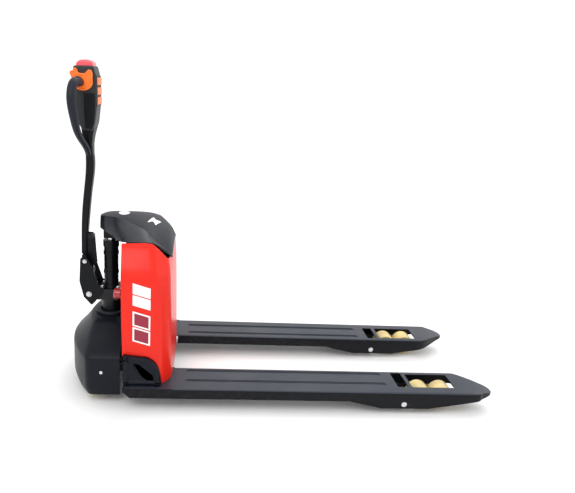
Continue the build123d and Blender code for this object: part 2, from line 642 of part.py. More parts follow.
# ---- base: the part that stays down, on the drive wheel and two casters ----
BEARING_DIA, NECK_DIA = 116.0, 80.0
DECK_LOW, DECK_HIGH = 216.0, 232.0
CHEEK_Y, CHEEK_THICK = 118.0, 8.0
CASTER_X, CASTER_Y = MAST_X - 17.0, 176.0
CASTER_TRAIL = 16.0
PAD_LOW, PAD_HIGH = 118.0, 124.0
STEM_DIA = 14.0
with BuildPart() as base_frame:
    box(-287, -179, -CHEEK_Y - CHEEK_THICK, CHEEK_Y + CHEEK_THICK, DECK_LOW, DECK_HIGH)
    box(-287, -214, -CHEEK_Y - 36, CHEEK_Y + 36, DECK_LOW - 14, DECK_LOW)
    box(-287, -214, -CHEEK_Y, CHEEK_Y, DECK_LOW - 14, DECK_LOW, mode=Mode.SUBTRACT)
    for side, name in SIDES:
        near, far = side * CHEEK_Y, side * (CHEEK_Y + CHEEK_THICK)
        box(-287, -214, near, far, 140, DECK_LOW)
        box(-272, -230, side * 148, side * (CHEEK_Y + 36), PAD_LOW, DECK_LOW)
        box(-272, -230, side * 148, side * (SHROUD_HALF - SHROUD_WALL), PAD_LOW, PAD_HIGH)
        pin_y = side * (CHEEK_Y + (ARM_Y + ARM_THICK - CHEEK_Y + 2) / 2)
        disc(GROUND_PIN_X, GROUND_PIN_Z, GROUND_PIN_DIA, pin_y, (ARM_Y + ARM_THICK - CHEEK_Y + 2) / 2)
        with BuildSketch(Plane.XY.offset(PAD_LOW)):
            with Locations((CASTER_X, side * CASTER_Y)):
                Circle(STEM_DIA / 2 + RUNNING)
        extrude(amount=PAD_HIGH - PAD_LOW, mode=Mode.SUBTRACT)
    with BuildSketch(Plane.XY.offset(DECK_LOW)):
        with Locations((MAST_X, 0)):
            Circle(BEARING_DIA / 2)
    extrude(amount=DECK_HIGH - DECK_LOW, mode=Mode.SUBTRACT)
save(base_frame.part, "base_frame")

with BuildPart() as steering_bearing:
    with BuildSketch(Plane.XY.offset(DECK_LOW)):
        with Locations((MAST_X, 0)):
            Circle(BEARING_DIA / 2)
            Circle(NECK_DIA / 2 + RUNNING, mode=Mode.SUBTRACT)
    extrude(amount=DECK_HIGH - DECK_LOW)
save(steering_bearing.part, "steering_bearing")

# ---- shroud over the drive wheel ----
COLLAR_BORE = 84.0


def shroud_plan(z, half, rear_x, corner_x, front_x, corner_radius):
    """A D in plan at this height: flat in front, straight sides, an arc behind, rounded where they meet."""
    with BuildSketch(Plane.XY.offset(z)) as plan:
        with BuildLine():
            Polyline((corner_x, -half), (front_x, -half), (front_x, half), (corner_x, half))
            ThreePointArc((corner_x, half), (rear_x, 0), (corner_x, -half))
        make_face()
        fillet(plan.vertices().sort_by(Axis.X)[:2], corner_radius)
    return plan.sketch


def shroud_block(wall):
    """The shroud's outline as one block, moved in by wall. With a wall it is open below and in front."""
    front_x = at(-SHROUD_FRONT + 2 * wall)
    rear_x, corner_x, half = REAR + wall, at(-SHROUD_CORNER) + wall, SHROUD_HALF - wall
    foot = SHROUD_FOOT - (1 if wall else 0)
    ledge = SHROUD_LEDGE - wall / 2
    with BuildPart() as block:
        low = shroud_plan(foot, half - 8, rear_x + 10, corner_x + 6, front_x, 30)
        hem = shroud_plan(SHROUD_FOOT + 30, half, rear_x, corner_x, front_x, 34)
        loft([low, hem], ruled=True)
        extrude(hem, amount=ledge - SHROUD_FOOT - 30)
        shoulder = shroud_plan(ledge, half, rear_x, corner_x, front_x, 34)
        top = shroud_plan(SHROUD_TOP - wall, half * SHROUD_TAPER, rear_x + 64, at(-290), front_x, 20)
        loft([shoulder, top], ruled=True)
    return block.part


shroud_outer = shroud_block(0)
shroud_inner = shroud_block(SHROUD_WALL)
with BuildPart() as drive_shroud:
    add(shroud_outer)
    add(shroud_inner, mode=Mode.SUBTRACT)
    with BuildSketch(Plane.XY.offset(SHROUD_TOP)):
        with Locations((MAST_X, 0)):
            Circle(COLLAR_BORE / 2)
    extrude(amount=-20, mode=Mode.SUBTRACT)
save(drive_shroud.part, "drive_shroud")

with BuildPart() as shroud_collar:
    with BuildSketch(Plane.XY.offset(SHROUD_TOP)):
        with Locations((MAST_X, 0)):
            Circle(COLLAR_BORE / 2 + 13)
            Circle(COLLAR_BORE / 2 - 3, mode=Mode.SUBTRACT)
    extrude(amount=9)
    fillet(shroud_collar.edges().group_by(Axis.Z)[-1], 3.5)
save(shroud_collar.part, "shroud_collar")

with BuildPart() as shroud_screws:
    for side, name in SIDES:
        disc(at(-246), 121, 12, side * (SHROUD_HALF + 1.5), 1.5)
save(shroud_screws.part, "shroud_screws")

# ---- casters ----
YOKE_HALF = CASTER_WIDTH / 2 + 4
for side, name in SIDES:
    wheel_x = CASTER_X - CASTER_TRAIL
    mid = side * CASTER_Y
    crown_z = CASTER_DIA + 8
    with BuildPart() as caster_yoke:
        with BuildSketch(Plane.XY.offset(crown_z)):
            with Locations((CASTER_X, mid)):
                Circle(YOKE_HALF + 3)
        extrude(amount=6)
        with BuildSketch(Plane.XY.offset(crown_z + 6)):
            with Locations((CASTER_X, mid)):
                Circle(STEM_DIA / 2)
        extrude(amount=PAD_HIGH - crown_z - 6)
        with BuildSketch(Plane.XY.offset(crown_z + 6)):
            with Locations((CASTER_X, mid)):
                Circle(STEM_DIA / 2 + 5)
        extrude(amount=PAD_LOW - crown_z - 6 - GAP)
        for y in (mid + CASTER_WIDTH / 2 + 1, mid - YOKE_HALF):
            link(((CASTER_X, crown_z + 3), (wheel_x, CASTER_DIA / 2)), (22, 20), y, YOKE_HALF - CASTER_WIDTH / 2 - 1)
        box(-MAST_SETBACK - 40, -MAST_SETBACK + 20, mid - 30, mid + 30, crown_z + 6, crown_z + 30, mode=Mode.SUBTRACT)
        with BuildSketch(Plane.XY.offset(crown_z + 6)):
            with Locations((CASTER_X, mid)):
                Circle(STEM_DIA / 2 + 5)
        extrude(amount=PAD_LOW - crown_z - 6 - GAP)
        with BuildSketch(Plane.XY.offset(crown_z + 6)):
            with Locations((CASTER_X, mid)):
                Circle(STEM_DIA / 2)
        extrude(amount=PAD_HIGH - crown_z - 6)
        disc(wheel_x, CASTER_DIA / 2, 8, mid, YOKE_HALF)
    save(caster_yoke.part, f"caster_yoke_{name}")

    with BuildPart() as caster_wheel:
        disc(wheel_x, CASTER_DIA / 2, CASTER_DIA, mid, CASTER_WIDTH / 2)
        fillet(caster_wheel.edges().filter_by(GeomType.CIRCLE), 3)
        bore(wheel_x, CASTER_DIA / 2, 8 + 2 * RUNNING, mid, CASTER_WIDTH)
    save(caster_wheel.part, f"caster_wheel_{name}")

# ---- steering head: yoke, gearbox and motor, block, cylinder ----
LEG_OUT_RIGHT, LEG_IN_RIGHT, LEG_IN_LEFT, LEG_OUT_LEFT = -50.0, -42.0, 42.0, 50.0
AXLE_SHAFT = 30.0
with BuildPart() as steer_yoke:
    with BuildSketch(Plane.XY.offset(DECK_LOW - 3 - 8)):
        with Locations((MAST_X, 0)):
            Circle(66)
    extrude(amount=8)
    with BuildSketch(Plane.XY.offset(DECK_LOW - 3)):
        with Locations((MAST_X, 0)):
            Circle(NECK_DIA / 2)
    extrude(amount=DECK_HIGH - DECK_LOW + 3)
    with BuildSketch(Plane.XY.offset(DECK_HIGH)):
        with Locations((MAST_X, 0)):
            Circle(35)
    extrude(amount=BLOCK_BOTTOM - DECK_HIGH)
    for y in (LEG_OUT_RIGHT, LEG_IN_LEFT):
        link(((MAST_X, DECK_LOW - 20), (MAST_X, WHEEL_Z)), (84, 76), y, LEG_OUT_LEFT - LEG_IN_LEFT)
    box(-MAST_SETBACK - 90, -MAST_SETBACK + 90, -90, 90, DECK_LOW - 3, DECK_LOW + 60, mode=Mode.SUBTRACT)
    with BuildSketch(Plane.XY.offset(DECK_LOW - 3)):
        with Locations((MAST_X, 0)):
            Circle(NECK_DIA / 2)
    extrude(amount=DECK_HIGH - DECK_LOW + 3)
    with BuildSketch(Plane.XY.offset(DECK_HIGH)):
        with Locations((MAST_X, 0)):
            Circle(35)
    extrude(amount=BLOCK_BOTTOM - DECK_HIGH)
    bore(MAST_X, WHEEL_Z, AXLE_SHAFT + 2 * RUNNING, 0, 60)
save(steer_yoke.part, "steer_yoke")

with BuildPart() as drive_motor:
    disc(MAST_X, WHEEL_Z, 130, LEG_OUT_LEFT + 10, 10)
    fillet(drive_motor.edges().group_by(Axis.Y)[-1], 6)
    disc(MAST_X, WHEEL_Z, 84, LEG_OUT_LEFT + 36, 16)
save(drive_motor.part, "drive_motor")

with BuildPart() as drive_hub:
    disc(MAST_X, WHEEL_Z, DRIVE_WHEEL_DIA - 50, 0, DRIVE_WHEEL_WIDTH / 2)
    for y in (-DRIVE_WHEEL_WIDTH / 2, DRIVE_WHEEL_WIDTH / 2):
        bore(MAST_X, WHEEL_Z, DRIVE_WHEEL_DIA - 66, y, 14)
    disc(MAST_X, WHEEL_Z, 54, 0, LEG_IN_LEFT - 1)
    disc(MAST_X, WHEEL_Z, AXLE_SHAFT, 0, LEG_OUT_LEFT - GAP)
save(drive_hub.part, "drive_hub")

with BuildPart() as drive_tyre:
    disc(MAST_X, WHEEL_Z, DRIVE_WHEEL_DIA, 0, DRIVE_WHEEL_WIDTH / 2)
    fillet(drive_tyre.edges().filter_by(GeomType.CIRCLE), 5)
    bore(MAST_X, WHEEL_Z, DRIVE_WHEEL_DIA - 50, 0, DRIVE_WHEEL_WIDTH)
save(drive_tyre.part, "drive_tyre")

BLOCK_HALF = 34.0
EAR_IN = 14.0
PIVOT_DIA = 20.0
ANCHOR_X, ANCHOR_Z = TILLER_X + 12.0, TILLER_PIVOT_Z + 16.0
ANCHOR_PIN = 6.0
with BuildPart() as head_block:
    box(-294, -212, -BLOCK_HALF, BLOCK_HALF, BLOCK_BOTTOM, BLOCK_TOP)
    fillet(head_block.edges().filter_by(Axis.Z), 6)
    for y in (-BLOCK_HALF, EAR_IN):
        link(((TILLER_X, TILLER_PIVOT_Z), (at(-280), TILLER_PIVOT_Z)), (34, 34), y, BLOCK_HALF - EAR_IN)
        link(((TILLER_X + 4, TILLER_PIVOT_Z), (ANCHOR_X, ANCHOR_Z)), (20, 14), y, BLOCK_HALF - EAR_IN)
    box(-345, -290, -EAR_IN, EAR_IN, BLOCK_BOTTOM - 10, BLOCK_TOP + 20, mode=Mode.SUBTRACT)
    disc(ANCHOR_X, ANCHOR_Z, ANCHOR_PIN, 0, EAR_IN)
    for y in (BLOCK_HALF, -BLOCK_HALF):
        bore(TILLER_X, TILLER_PIVOT_Z, PIVOT_DIA + 2 * RUNNING, y, BLOCK_HALF - EAR_IN)
save(head_block.part, "head_block")

with BuildPart() as lift_cylinder:
    with BuildSketch(Plane.XY.offset(BLOCK_TOP)):
        with Locations((MAST_X, 0)):
            Circle(CYLINDER_DIA / 2)
    extrude(amount=CYLINDER_TOP - 24 - BLOCK_TOP)
    with BuildSketch(Plane.XY.offset(BLOCK_TOP + 10)):
        with Locations((MAST_X, 0)):
            Circle(CYLINDER_BORE / 2)
    extrude(amount=CYLINDER_TOP, mode=Mode.SUBTRACT)
save(lift_cylinder.part, "lift_cylinder")

with BuildPart() as cylinder_gland:
    with BuildSketch(Plane.XY.offset(CYLINDER_TOP - 24)):
        with Locations((MAST_X, 0)):
            Circle(CYLINDER_DIA / 2 + 3)
            Circle(ROD_DIA / 2 + RUNNING, mode=Mode.SUBTRACT)
    extrude(amount=24)
    chamfer(cylinder_gland.edges().group_by(Axis.Z)[-1], 2)
save(cylinder_gland.part, "cylinder_gland")

PISTON_Z = BLOCK_TOP + 12.0
with BuildPart() as piston_rod:
    with BuildSketch(Plane.XY.offset(PISTON_Z)):
        with Locations((MAST_X, 0)):
            Circle(CYLINDER_BORE / 2 - RUNNING)
    extrude(amount=22)
    with BuildSketch(Plane.XY.offset(PISTON_Z + 22)):
        with Locations((MAST_X, 0)):
            Circle(ROD_DIA / 2)
    extrude(amount=CROWN_TOP - PISTON_Z - 22)
    with BuildSketch(Plane.XY.offset(CROWN_TOP)):
        with Locations((MAST_X, 0)):
            Circle(20)
    extrude(amount=5)
save(piston_rod.part, "piston_rod")

# ---- tiller ----
KNUCKLE_IN, KNUCKLE_OUT = 38.0, 44.0
KNUCKLE = ((-347, 462), (-321, 462), (-304, 421), (-284, 359), (-269, 343), (-276, 322), (-310, 282), (-338, 315), (-352, 374))
with BuildPart() as knuckle:
    for y in (-KNUCKLE_OUT, KNUCKLE_IN):
        with BuildSketch(side_plane(y)) as cheek:
            with BuildLine():
                Polyline(*[(at(x), z) for x, z in KNUCKLE], close=True)
            make_face()
            fillet(cheek.vertices(), 5)
        extrude(amount=-(KNUCKLE_OUT - KNUCKLE_IN))
    for y in (KNUCKLE_OUT, -KNUCKLE_OUT):
        inner = EAR_IN if y > 0 else -EAR_IN
        disc(TILLER_X, TILLER_PIVOT_Z, PIVOT_DIA, (y + inner) / 2, abs(y - inner) / 2)
    box(-348, -343, -KNUCKLE_IN, KNUCKLE_IN, 385, 455)
save(knuckle.part, "knuckle")

ARM_FOOT = 408.0
ARM_LEFT = ((-348, 470), (-347, 525), (-344, 605), (-334, 707), (-328, 761), (-327, 832))
ARM_RIGHT = ((-301, 832), (-299, 781), (-308, 707), (-319, 606), (-326, 526), (-327, 470))
with BuildPart() as tiller_arm:
    with BuildSketch(Plane.XZ) as bar:
        with BuildLine():
            left = [(at(x), z) for x, z in ARM_LEFT]
            right = [(at(x), z) for x, z in ARM_RIGHT]
            Spline(*left)
            Line(left[-1], right[0])
            Spline(*right)
            Line(right[-1], left[0])
        make_face()
    extrude(amount=ARM_HALF, both=True)
    fillet(tiller_arm.edges().filter_by(GeomType.BSPLINE), 6)
    with BuildSketch(Plane.XZ):
        with Locations((at(-334), (ARM_FOOT + 470) / 2)):
            Rectangle(17, 470 - ARM_FOOT)
    extrude(amount=KNUCKLE_IN, both=True)
save(tiller_arm.part, "tiller_arm")

SPRING_TOP_X, SPRING_TOP_Z = at(-311), 534.0
SPRING_TILT = degrees(atan2(SPRING_TOP_X - ANCHOR_X, SPRING_TOP_Z - ANCHOR_Z))
SPRING_LENGTH = hypot(SPRING_TOP_X - ANCHOR_X, SPRING_TOP_Z - ANCHOR_Z)
SPRING_BORE = 8.0
SPRING_TUBE_DIA = 13.0
SPRING_SLOT = 15.6
spring_plane = Plane(origin=(SPRING_TOP_X, 0, SPRING_TOP_Z), z_dir=(ANCHOR_X - SPRING_TOP_X, 0, ANCHOR_Z - SPRING_TOP_Z))

with BuildPart() as spring_tube:
    with BuildSketch(spring_plane.offset(7)):
        Circle(SPRING_TUBE_DIA / 2)
    extrude(amount=103)
    with BuildSketch(spring_plane.offset(20)):
        Circle(SPRING_BORE / 2 + RUNNING)
    extrude(amount=100, mode=Mode.SUBTRACT)
    disc(SPRING_TOP_X, SPRING_TOP_Z, 16, 0, 6)
    bore(SPRING_TOP_X, SPRING_TOP_Z, 8 + 2 * RUNNING, 0, 10)
save(spring_tube.part, "spring_tube")

with BuildPart() as spring_rod:
    with BuildSketch(spring_plane.offset(62)):
        Circle(SPRING_BORE / 2)
    extrude(amount=SPRING_LENGTH - 62 - 7)
    with BuildSketch(side_plane(0)):
        with Locations((ANCHOR_X, ANCHOR_Z)):
            Circle(SPRING_SLOT / 2 + 3.5)
            Circle(SPRING_SLOT / 2 + 0.4, mode=Mode.SUBTRACT)
    extrude(amount=6, both=True)
save(spring_rod.part, "spring_rod")

with BuildPart() as spring_bracket:
    for y in (-13, 8):
        link(((SPRING_TOP_X, SPRING_TOP_Z), (at(-322.5), SPRING_TOP_Z)), (16, 16), y, 5)
        box(-325.2, -318, y, y + 5, SPRING_TOP_Z - 8, SPRING_TOP_Z + 8)
    disc(SPRING_TOP_X, SPRING_TOP_Z, 8, 0, 13)
    add(tiller_arm.part, mode=Mode.SUBTRACT)
save(spring_bracket.part, "spring_bracket")

with BuildPart() as knuckle_bolts:
    for x, z, dia in ((-319, TILLER_PIVOT_Z, 18), (-332, 450, 13)):
        for y in (KNUCKLE_OUT, -KNUCKLE_OUT):
            disc(at(x), z, dia, y + (2.5 if y > 0 else -2.5), 2.5)
    chamfer(knuckle_bolts.edges().group_by(Axis.Y)[0], 1)
    chamfer(knuckle_bolts.edges().group_by(Axis.Y)[-1], 1)
save(knuckle_bolts.part, "knuckle_bolts")

HEAD_BACK = ((-327, 832), (-334, 889), (-347, 930), (-356, 1000), (-360, 1060), (-356, HEAD_TOP))
HEAD_FRONT = ((-289, HEAD_TOP), (-282, 1082), (-278, 1032), (-281, 973), (-286, 940), (-295, 905), (-301, 832))
BUTTONS = (("upper", 1067), ("middle", 1036), ("lower", 1005))
BUTTON_HALF_Y, BUTTON_HALF_Z, BUTTON_DEPTH, BUTTON_TRAVEL = 36.0, 11.5, 14.0, 3.0
BUTTON_FACE = -278.0
HEAD_CHAMFER = ((-288, HEAD_HALF), (-275, HEAD_HALF - 8))
BELLY_TRAVEL = 6.0
BELLY_HALF_Y = 34.0
THROTTLE_X, THROTTLE_Z = at(-331), 1063.0
THROTTLE_IN, THROTTLE_OUT = HEAD_HALF + 1.0, HEAD_HALF + 15.0
BOSS_DIA = 22.0
with BuildPart() as head_body:
    with BuildSketch(Plane.XZ) as profile:
        with BuildLine():
            back = [(at(x), z) for x, z in HEAD_BACK]
            front = [(at(x), z) for x, z in HEAD_FRONT]
            Spline(*back)
            Line(back[-1], front[0])
            Spline(*front)
            Line(front[-1], back[0])
        make_face()
    extrude(amount=HEAD_HALF, both=True)
    with BuildSketch(Plane.YZ) as outline:
        with BuildLine():
            Polyline(
                (-ARM_HALF, 832),
                (-ARM_HALF - 2, 870),
                (-HEAD_HALF, 950),
                (-HEAD_HALF, HEAD_TOP),
                (HEAD_HALF, HEAD_TOP),
                (HEAD_HALF, 950),
                (ARM_HALF + 2, 870),
                (ARM_HALF, 832),
                close=True,
            )
        make_face()
        fillet(outline.vertices().group_by(Axis.Y)[2:4], 20)
    extrude(amount=OVERALL_LENGTH, both=True, mode=Mode.INTERSECT)
    for side, name in SIDES:
        with BuildSketch() as corner:
            with BuildLine():
                (near_x, near_y), (far_x, far_y) = HEAD_CHAMFER
                Polyline(
                    (at(near_x), side * near_y),
                    (at(far_x), side * far_y),
                    (at(far_x), side * near_y * 2),
                    (at(near_x), side * near_y * 2),
                    close=True,
                )
            make_face()
        extrude(corner.sketch, amount=HANDLE_TOP, mode=Mode.SUBTRACT)
    for label, z in BUTTONS:
        with BuildSketch(Plane.YZ.offset(at(BUTTON_FACE - BUTTON_DEPTH - BUTTON_TRAVEL))):
            with Locations((0, z)):
                Rectangle(2 * BUTTON_HALF_Y + 0.6, 2 * BUTTON_HALF_Z + 0.6)
        extrude(amount=60, mode=Mode.SUBTRACT)
    with BuildSketch(Plane.XY.offset(HEAD_TOP)):
        with Locations((at(-320), 0)):
            Rectangle(54 + 0.6, 2 * BELLY_HALF_Y + 0.6)
    extrude(amount=-12 - BELLY_TRAVEL, mode=Mode.SUBTRACT)
save(head_body.part, "head_body")

for label, z in BUTTONS:
    with BuildPart() as button:
        with BuildSketch(Plane.YZ.offset(at(BUTTON_FACE - BUTTON_DEPTH))) as cap:
            with Locations((0, z)):
                Rectangle(2 * BUTTON_HALF_Y, 2 * BUTTON_HALF_Z)
            fillet(cap.vertices(), 3)
        extrude(amount=BUTTON_DEPTH + 1)
        fillet(button.edges().group_by(Axis.X)[-1], 2)
    save(button.part, f"button_{label}")

DOME_EDGE = 5.0  # how far the dome's sides stand out of the pod
with BuildPart() as belly_button:
    with BuildSketch(Plane.XZ) as dome:
        with BuildLine():
            low_left, low_right = (at(-347), HEAD_TOP - 12), (at(-293), HEAD_TOP - 12)
            top_left, top_right = (at(-347), HEAD_TOP + DOME_EDGE), (at(-293), HEAD_TOP + DOME_EDGE - 1)
            Line(low_left, top_left)
            Spline(top_left, (at(-322), HANDLE_TOP), top_right, tangents=((0.6, 1), (0.3, -1)))
            Line(top_right, low_right)
            Line(low_right, low_left)
        make_face()
    extrude(amount=BELLY_HALF_Y, both=True)
    fillet(belly_button.edges().filter_by(GeomType.BSPLINE), 8)
save(belly_button.part, "belly_button")

THROTTLE = (
    (-361, 1094),
    (-352, 1107),
    (-343, 1097),
    (-333, 1090),
    (-315, 1091),
    (-302, 1104),
    (-292, 1096),
    (-292, 1058),
    (-306, 1041),
    (-325, 1037),
    (-345, 1042),
    (-352, 1062),
)
with BuildPart() as throttle:
    for side, name in SIDES:
        with BuildSketch(side_plane(side * THROTTLE_IN)) as horn:
            with BuildLine():
                Polyline(*[(at(x), z) for x, z in THROTTLE], close=True)
            make_face()
            fillet(horn.vertices(), 3)
        extrude(amount=-side * (THROTTLE_OUT - THROTTLE_IN))
        bore(THROTTLE_X, THROTTLE_Z, BOSS_DIA + 2 * RUNNING, side * THROTTLE_IN, 2 * (THROTTLE_OUT - THROTTLE_IN))
save(throttle.part, "throttle")

GRIP_STATIONS = (  # x, y, z and tube diameter, from the neck up and around to the throttle's hub
    (-315, 18, 826, 20),
    (-324, 52, 868, 21),
    (-334, 96, 908, 23),
    (-338, 126, 958, 27),
    (-342, GRIP_REACH - GRIP_DIA / 2, 1020, GRIP_DIA + 2),
    (-339, 116, 1059, GRIP_DIA + 1),
    (-331, THROTTLE_OUT + 2, 1063, GRIP_DIA),
)
for side, name in SIDES:
    with BuildPart() as grip:
        with BuildLine() as path:
            middle = [(at(x), side * y, z) for x, y, z, dia in GRIP_STATIONS]
            Spline(*middle, tangents=((0, side * 0.7, 1), (0, -side, 0)))
        track = path.edge()
        stations = [track.param_at_point(point) for point in middle]
        for k in range(len(stations) - 1):
            for share in (0, 1 / 3, 2 / 3) if k < len(stations) - 2 else (0, 1 / 3, 2 / 3, 1):
                place = stations[k] + (stations[k + 1] - stations[k]) * share
                dia = GRIP_STATIONS[k][3] + (GRIP_STATIONS[k + 1][3] - GRIP_STATIONS[k][3]) * share
                with BuildSketch(Plane(origin=track @ place, z_dir=track % place)):
                    Circle(dia / 2)
        loft()
        add(tiller_arm.part, mode=Mode.SUBTRACT)
        add(head_body.part, mode=Mode.SUBTRACT)
        box(-345, -285, -ARM_HALF, ARM_HALF, 760, 860, mode=Mode.SUBTRACT)
        disc(THROTTLE_X, THROTTLE_Z, BOSS_DIA, side * (HEAD_HALF + 10), 10)
    save(grip.part, f"grip_{name}")
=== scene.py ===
"""Looks for the electric pallet truck, laid out as an add-on and run as a script.

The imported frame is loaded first. Each operator builds one piece or one group of like pieces, in metres, in
the frame's own axes: +X to the fork tips, +Y to the left, +Z up. Places along X are counted from the heels
of the forks.
"""

import json
from math import cos, pi, radians, sin

import bmesh
import bpy
from mathutils import Matrix, Vector
from mathutils.bvhtree import BVHTree

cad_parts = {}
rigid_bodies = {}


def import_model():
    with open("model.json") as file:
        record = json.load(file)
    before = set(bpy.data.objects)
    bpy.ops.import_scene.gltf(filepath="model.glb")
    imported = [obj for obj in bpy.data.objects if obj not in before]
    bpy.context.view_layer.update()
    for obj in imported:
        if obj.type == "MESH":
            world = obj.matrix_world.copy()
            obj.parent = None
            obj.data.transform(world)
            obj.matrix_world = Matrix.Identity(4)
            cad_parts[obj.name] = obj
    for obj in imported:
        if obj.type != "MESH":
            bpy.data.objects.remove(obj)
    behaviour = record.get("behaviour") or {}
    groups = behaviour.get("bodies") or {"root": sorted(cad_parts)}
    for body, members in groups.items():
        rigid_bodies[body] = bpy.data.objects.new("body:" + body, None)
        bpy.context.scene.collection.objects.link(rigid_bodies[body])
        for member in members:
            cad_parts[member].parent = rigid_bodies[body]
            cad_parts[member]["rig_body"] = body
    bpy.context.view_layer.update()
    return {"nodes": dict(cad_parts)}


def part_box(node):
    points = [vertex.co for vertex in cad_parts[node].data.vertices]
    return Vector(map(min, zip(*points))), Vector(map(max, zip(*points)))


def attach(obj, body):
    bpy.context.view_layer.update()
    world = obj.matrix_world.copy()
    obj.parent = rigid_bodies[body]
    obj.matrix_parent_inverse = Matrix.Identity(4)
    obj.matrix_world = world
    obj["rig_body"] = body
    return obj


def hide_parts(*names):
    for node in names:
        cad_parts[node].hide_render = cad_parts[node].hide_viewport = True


bl_info = {
    "name": "Electric pallet truck",
    "version": (1, 0, 0),
    "blender": (4, 5, 0),
    "location": "View3D > Sidebar > Truck",
    "description": "Builds the looks of an electric pallet truck around its fixed frame",
    "category": "Object",
}

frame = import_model()
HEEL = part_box("fork_left")[0].x
SIDES = ((1, "left"), (-1, "right"))


def at(ahead):
    """The x of a place this many metres ahead of the fork heels."""
    return HEEL + ahead


# ---- what a user would change ----
def colour(name, value, words):
    return bpy.props.FloatVectorProperty(
        name=name, description=words, default=value, size=3, min=0.0, max=1.0, subtype="COLOR"
    )


def length(name, value, words):
    return bpy.props.FloatProperty(name=name, description=words, default=value, min=0.0, unit="LENGTH")


class TruckColours(bpy.types.PropertyGroup):
    panel: colour("Panels", (0.70, 0.014, 0.004), "Gloss paint of the battery box panels")
    moulding: colour("Mouldings", (0.0040, 0.0055, 0.0105), "Shroud, arch covers and the cowl's sides")
    cowl_roof: colour("Cowl roof", (0.012, 0.013, 0.020), "Matt grained top of the cowl")
    # kept only on the faces that look up; the side faces take the black colour as painted shade
    fork: colour("Forks", (0.020, 0.025, 0.039), "Semi-gloss paint of the forks and chassis")
    black: colour("Black paint", (0.0040, 0.0045, 0.0065), "Tiller, knuckle and cylinder")
    rubber: colour("Grip rubber", (0.007, 0.009, 0.016), "Hand grips")
    pod: colour("Tiller head", (0.017, 0.018, 0.020), "Moulded head between the grips")
    control: colour("Controls", (0.90, 0.165, 0.012), "Throttle and front buttons")
    press: colour("Top switch", (0.80, 0.075, 0.095), "Reversing switch on top of the head")
    stop: colour("Stop button", (0.42, 0.008, 0.012), "Emergency stop")
    tread: colour("Rollers", (0.62, 0.49, 0.21), "Polyurethane of the rollers and casters")
    steel: colour("Bare steel", (0.62, 0.62, 0.63), "Bolts, pins and the piston rod")
    mark: colour("Marks", (0.86, 0.86, 0.86), "Plain marks on the panels and cowl")
    mark_fill: colour("Mark fill", (0.26, 0.006, 0.03), "Inside of the outlined marks")
    floor: colour("Floor", (0.88, 0.88, 0.88), "Studio floor")


class TruckSizes(bpy.types.PropertyGroup):
    panel_skin: length("Panel thickness", 0.0035, "Thickness of the painted panels")
    crease_round: length("Crease radius", 0.010, "Rounding where the side panel turns to the front")
    steel_round: length("Plate edge", 0.0011, "Rounded edge of painted plates")
    mark_lift: length("Mark thickness", 0.0004, "How far a mark stands off its surface")
    floor_half: length("Floor half size", 7.0, "Half the side of the studio floor")


# ---- shader node groups ----
def node_group(name, inputs, outputs):
    group = bpy.data.node_groups.new(name, "ShaderNodeTree")
    for label, kind, value in inputs:
        socket = group.interface.new_socket(label, in_out="INPUT", socket_type="NodeSocket" + kind)
        if value is not None:
            socket.default_value = value
    for label, kind in outputs:
        group.interface.new_socket(label, in_out="OUTPUT", socket_type="NodeSocket" + kind)
    return group, group.nodes.new("NodeGroupInput"), group.nodes.new("NodeGroupOutput")


def add_node(tree, kind, links=(), **values):
    node = tree.nodes.new("ShaderNode" + kind)
    for key, value in values.items():
        setattr(node, key, value)
    for socket, source in links:
        if isinstance(source, bpy.types.NodeSocket):
            tree.links.new(source, node.inputs[socket])
        else:
            node.inputs[socket].default_value = source
    return node


def texture(group, start, kind, detail=None):
    """A texture at the group's own vector and scale."""
    node = add_node(group, kind, (("Vector", start.outputs["Vector"]), ("Scale", start.outputs["Scale"])))
    if detail is not None:
        node.inputs["Detail"].default_value = detail
    return node


def tone_drift():
    """Slow change between two tones, with a finer mottle on top."""
    group, start, end = node_group(
        "tone drift",
        (
            ("Vector", "Vector", None),
            ("Scale", "Float", 6.0),
            ("Light", "Color", (0.8, 0.8, 0.8, 1)),
            ("Dark", "Color", (0.4, 0.4, 0.4, 1)),
        ),
        (("Color", "Color"), ("Value", "Float")),
    )
    broad = texture(group, start, "TexNoise", 3)
    finer = add_node(group, "Math", ((0, start.outputs["Scale"]), (1, 14.0)), operation="MULTIPLY")
    fine = add_node(group, "TexNoise", (("Vector", start.outputs["Vector"]), ("Scale", finer.outputs[0])))
    both = add_node(
        group, "Math", ((0, fine.outputs[0]), (1, 0.35), (2, broad.outputs[0])), operation="MULTIPLY_ADD"
    )
    level = add_node(group, "MapRange", ((0, both.outputs[0]), (1, 0.45), (2, 0.95)))
    tone = add_node(
        group,
        "Mix",
        ((0, level.outputs[0]), (6, start.outputs["Dark"]), (7, start.outputs["Light"])),
        data_type="RGBA",
    )
    group.links.new(tone.outputs[2], end.inputs["Color"])
    group.links.new(level.outputs[0], end.inputs["Value"])
    return group


def fine_grain():
    """Pebbled height of a moulded or powder-coated surface."""
    group, start, end = node_group(
        "fine grain",
        (("Vector", "Vector", None), ("Scale", "Float", 500.0), ("Softness", "Float", 0.5)),
        (("Height", "Float"),),
    )
    cells = texture(group, start, "TexVoronoi")
    cells.feature = "SMOOTH_F1"
    noise = texture(group, start, "TexNoise")
    both = add_node(
        group, "Mix", ((0, start.outputs["Softness"]), (2, cells.outputs["Distance"]), (3, noise.outputs[0]))
    )
    group.links.new(both.outputs[0], end.inputs["Height"])
    return group


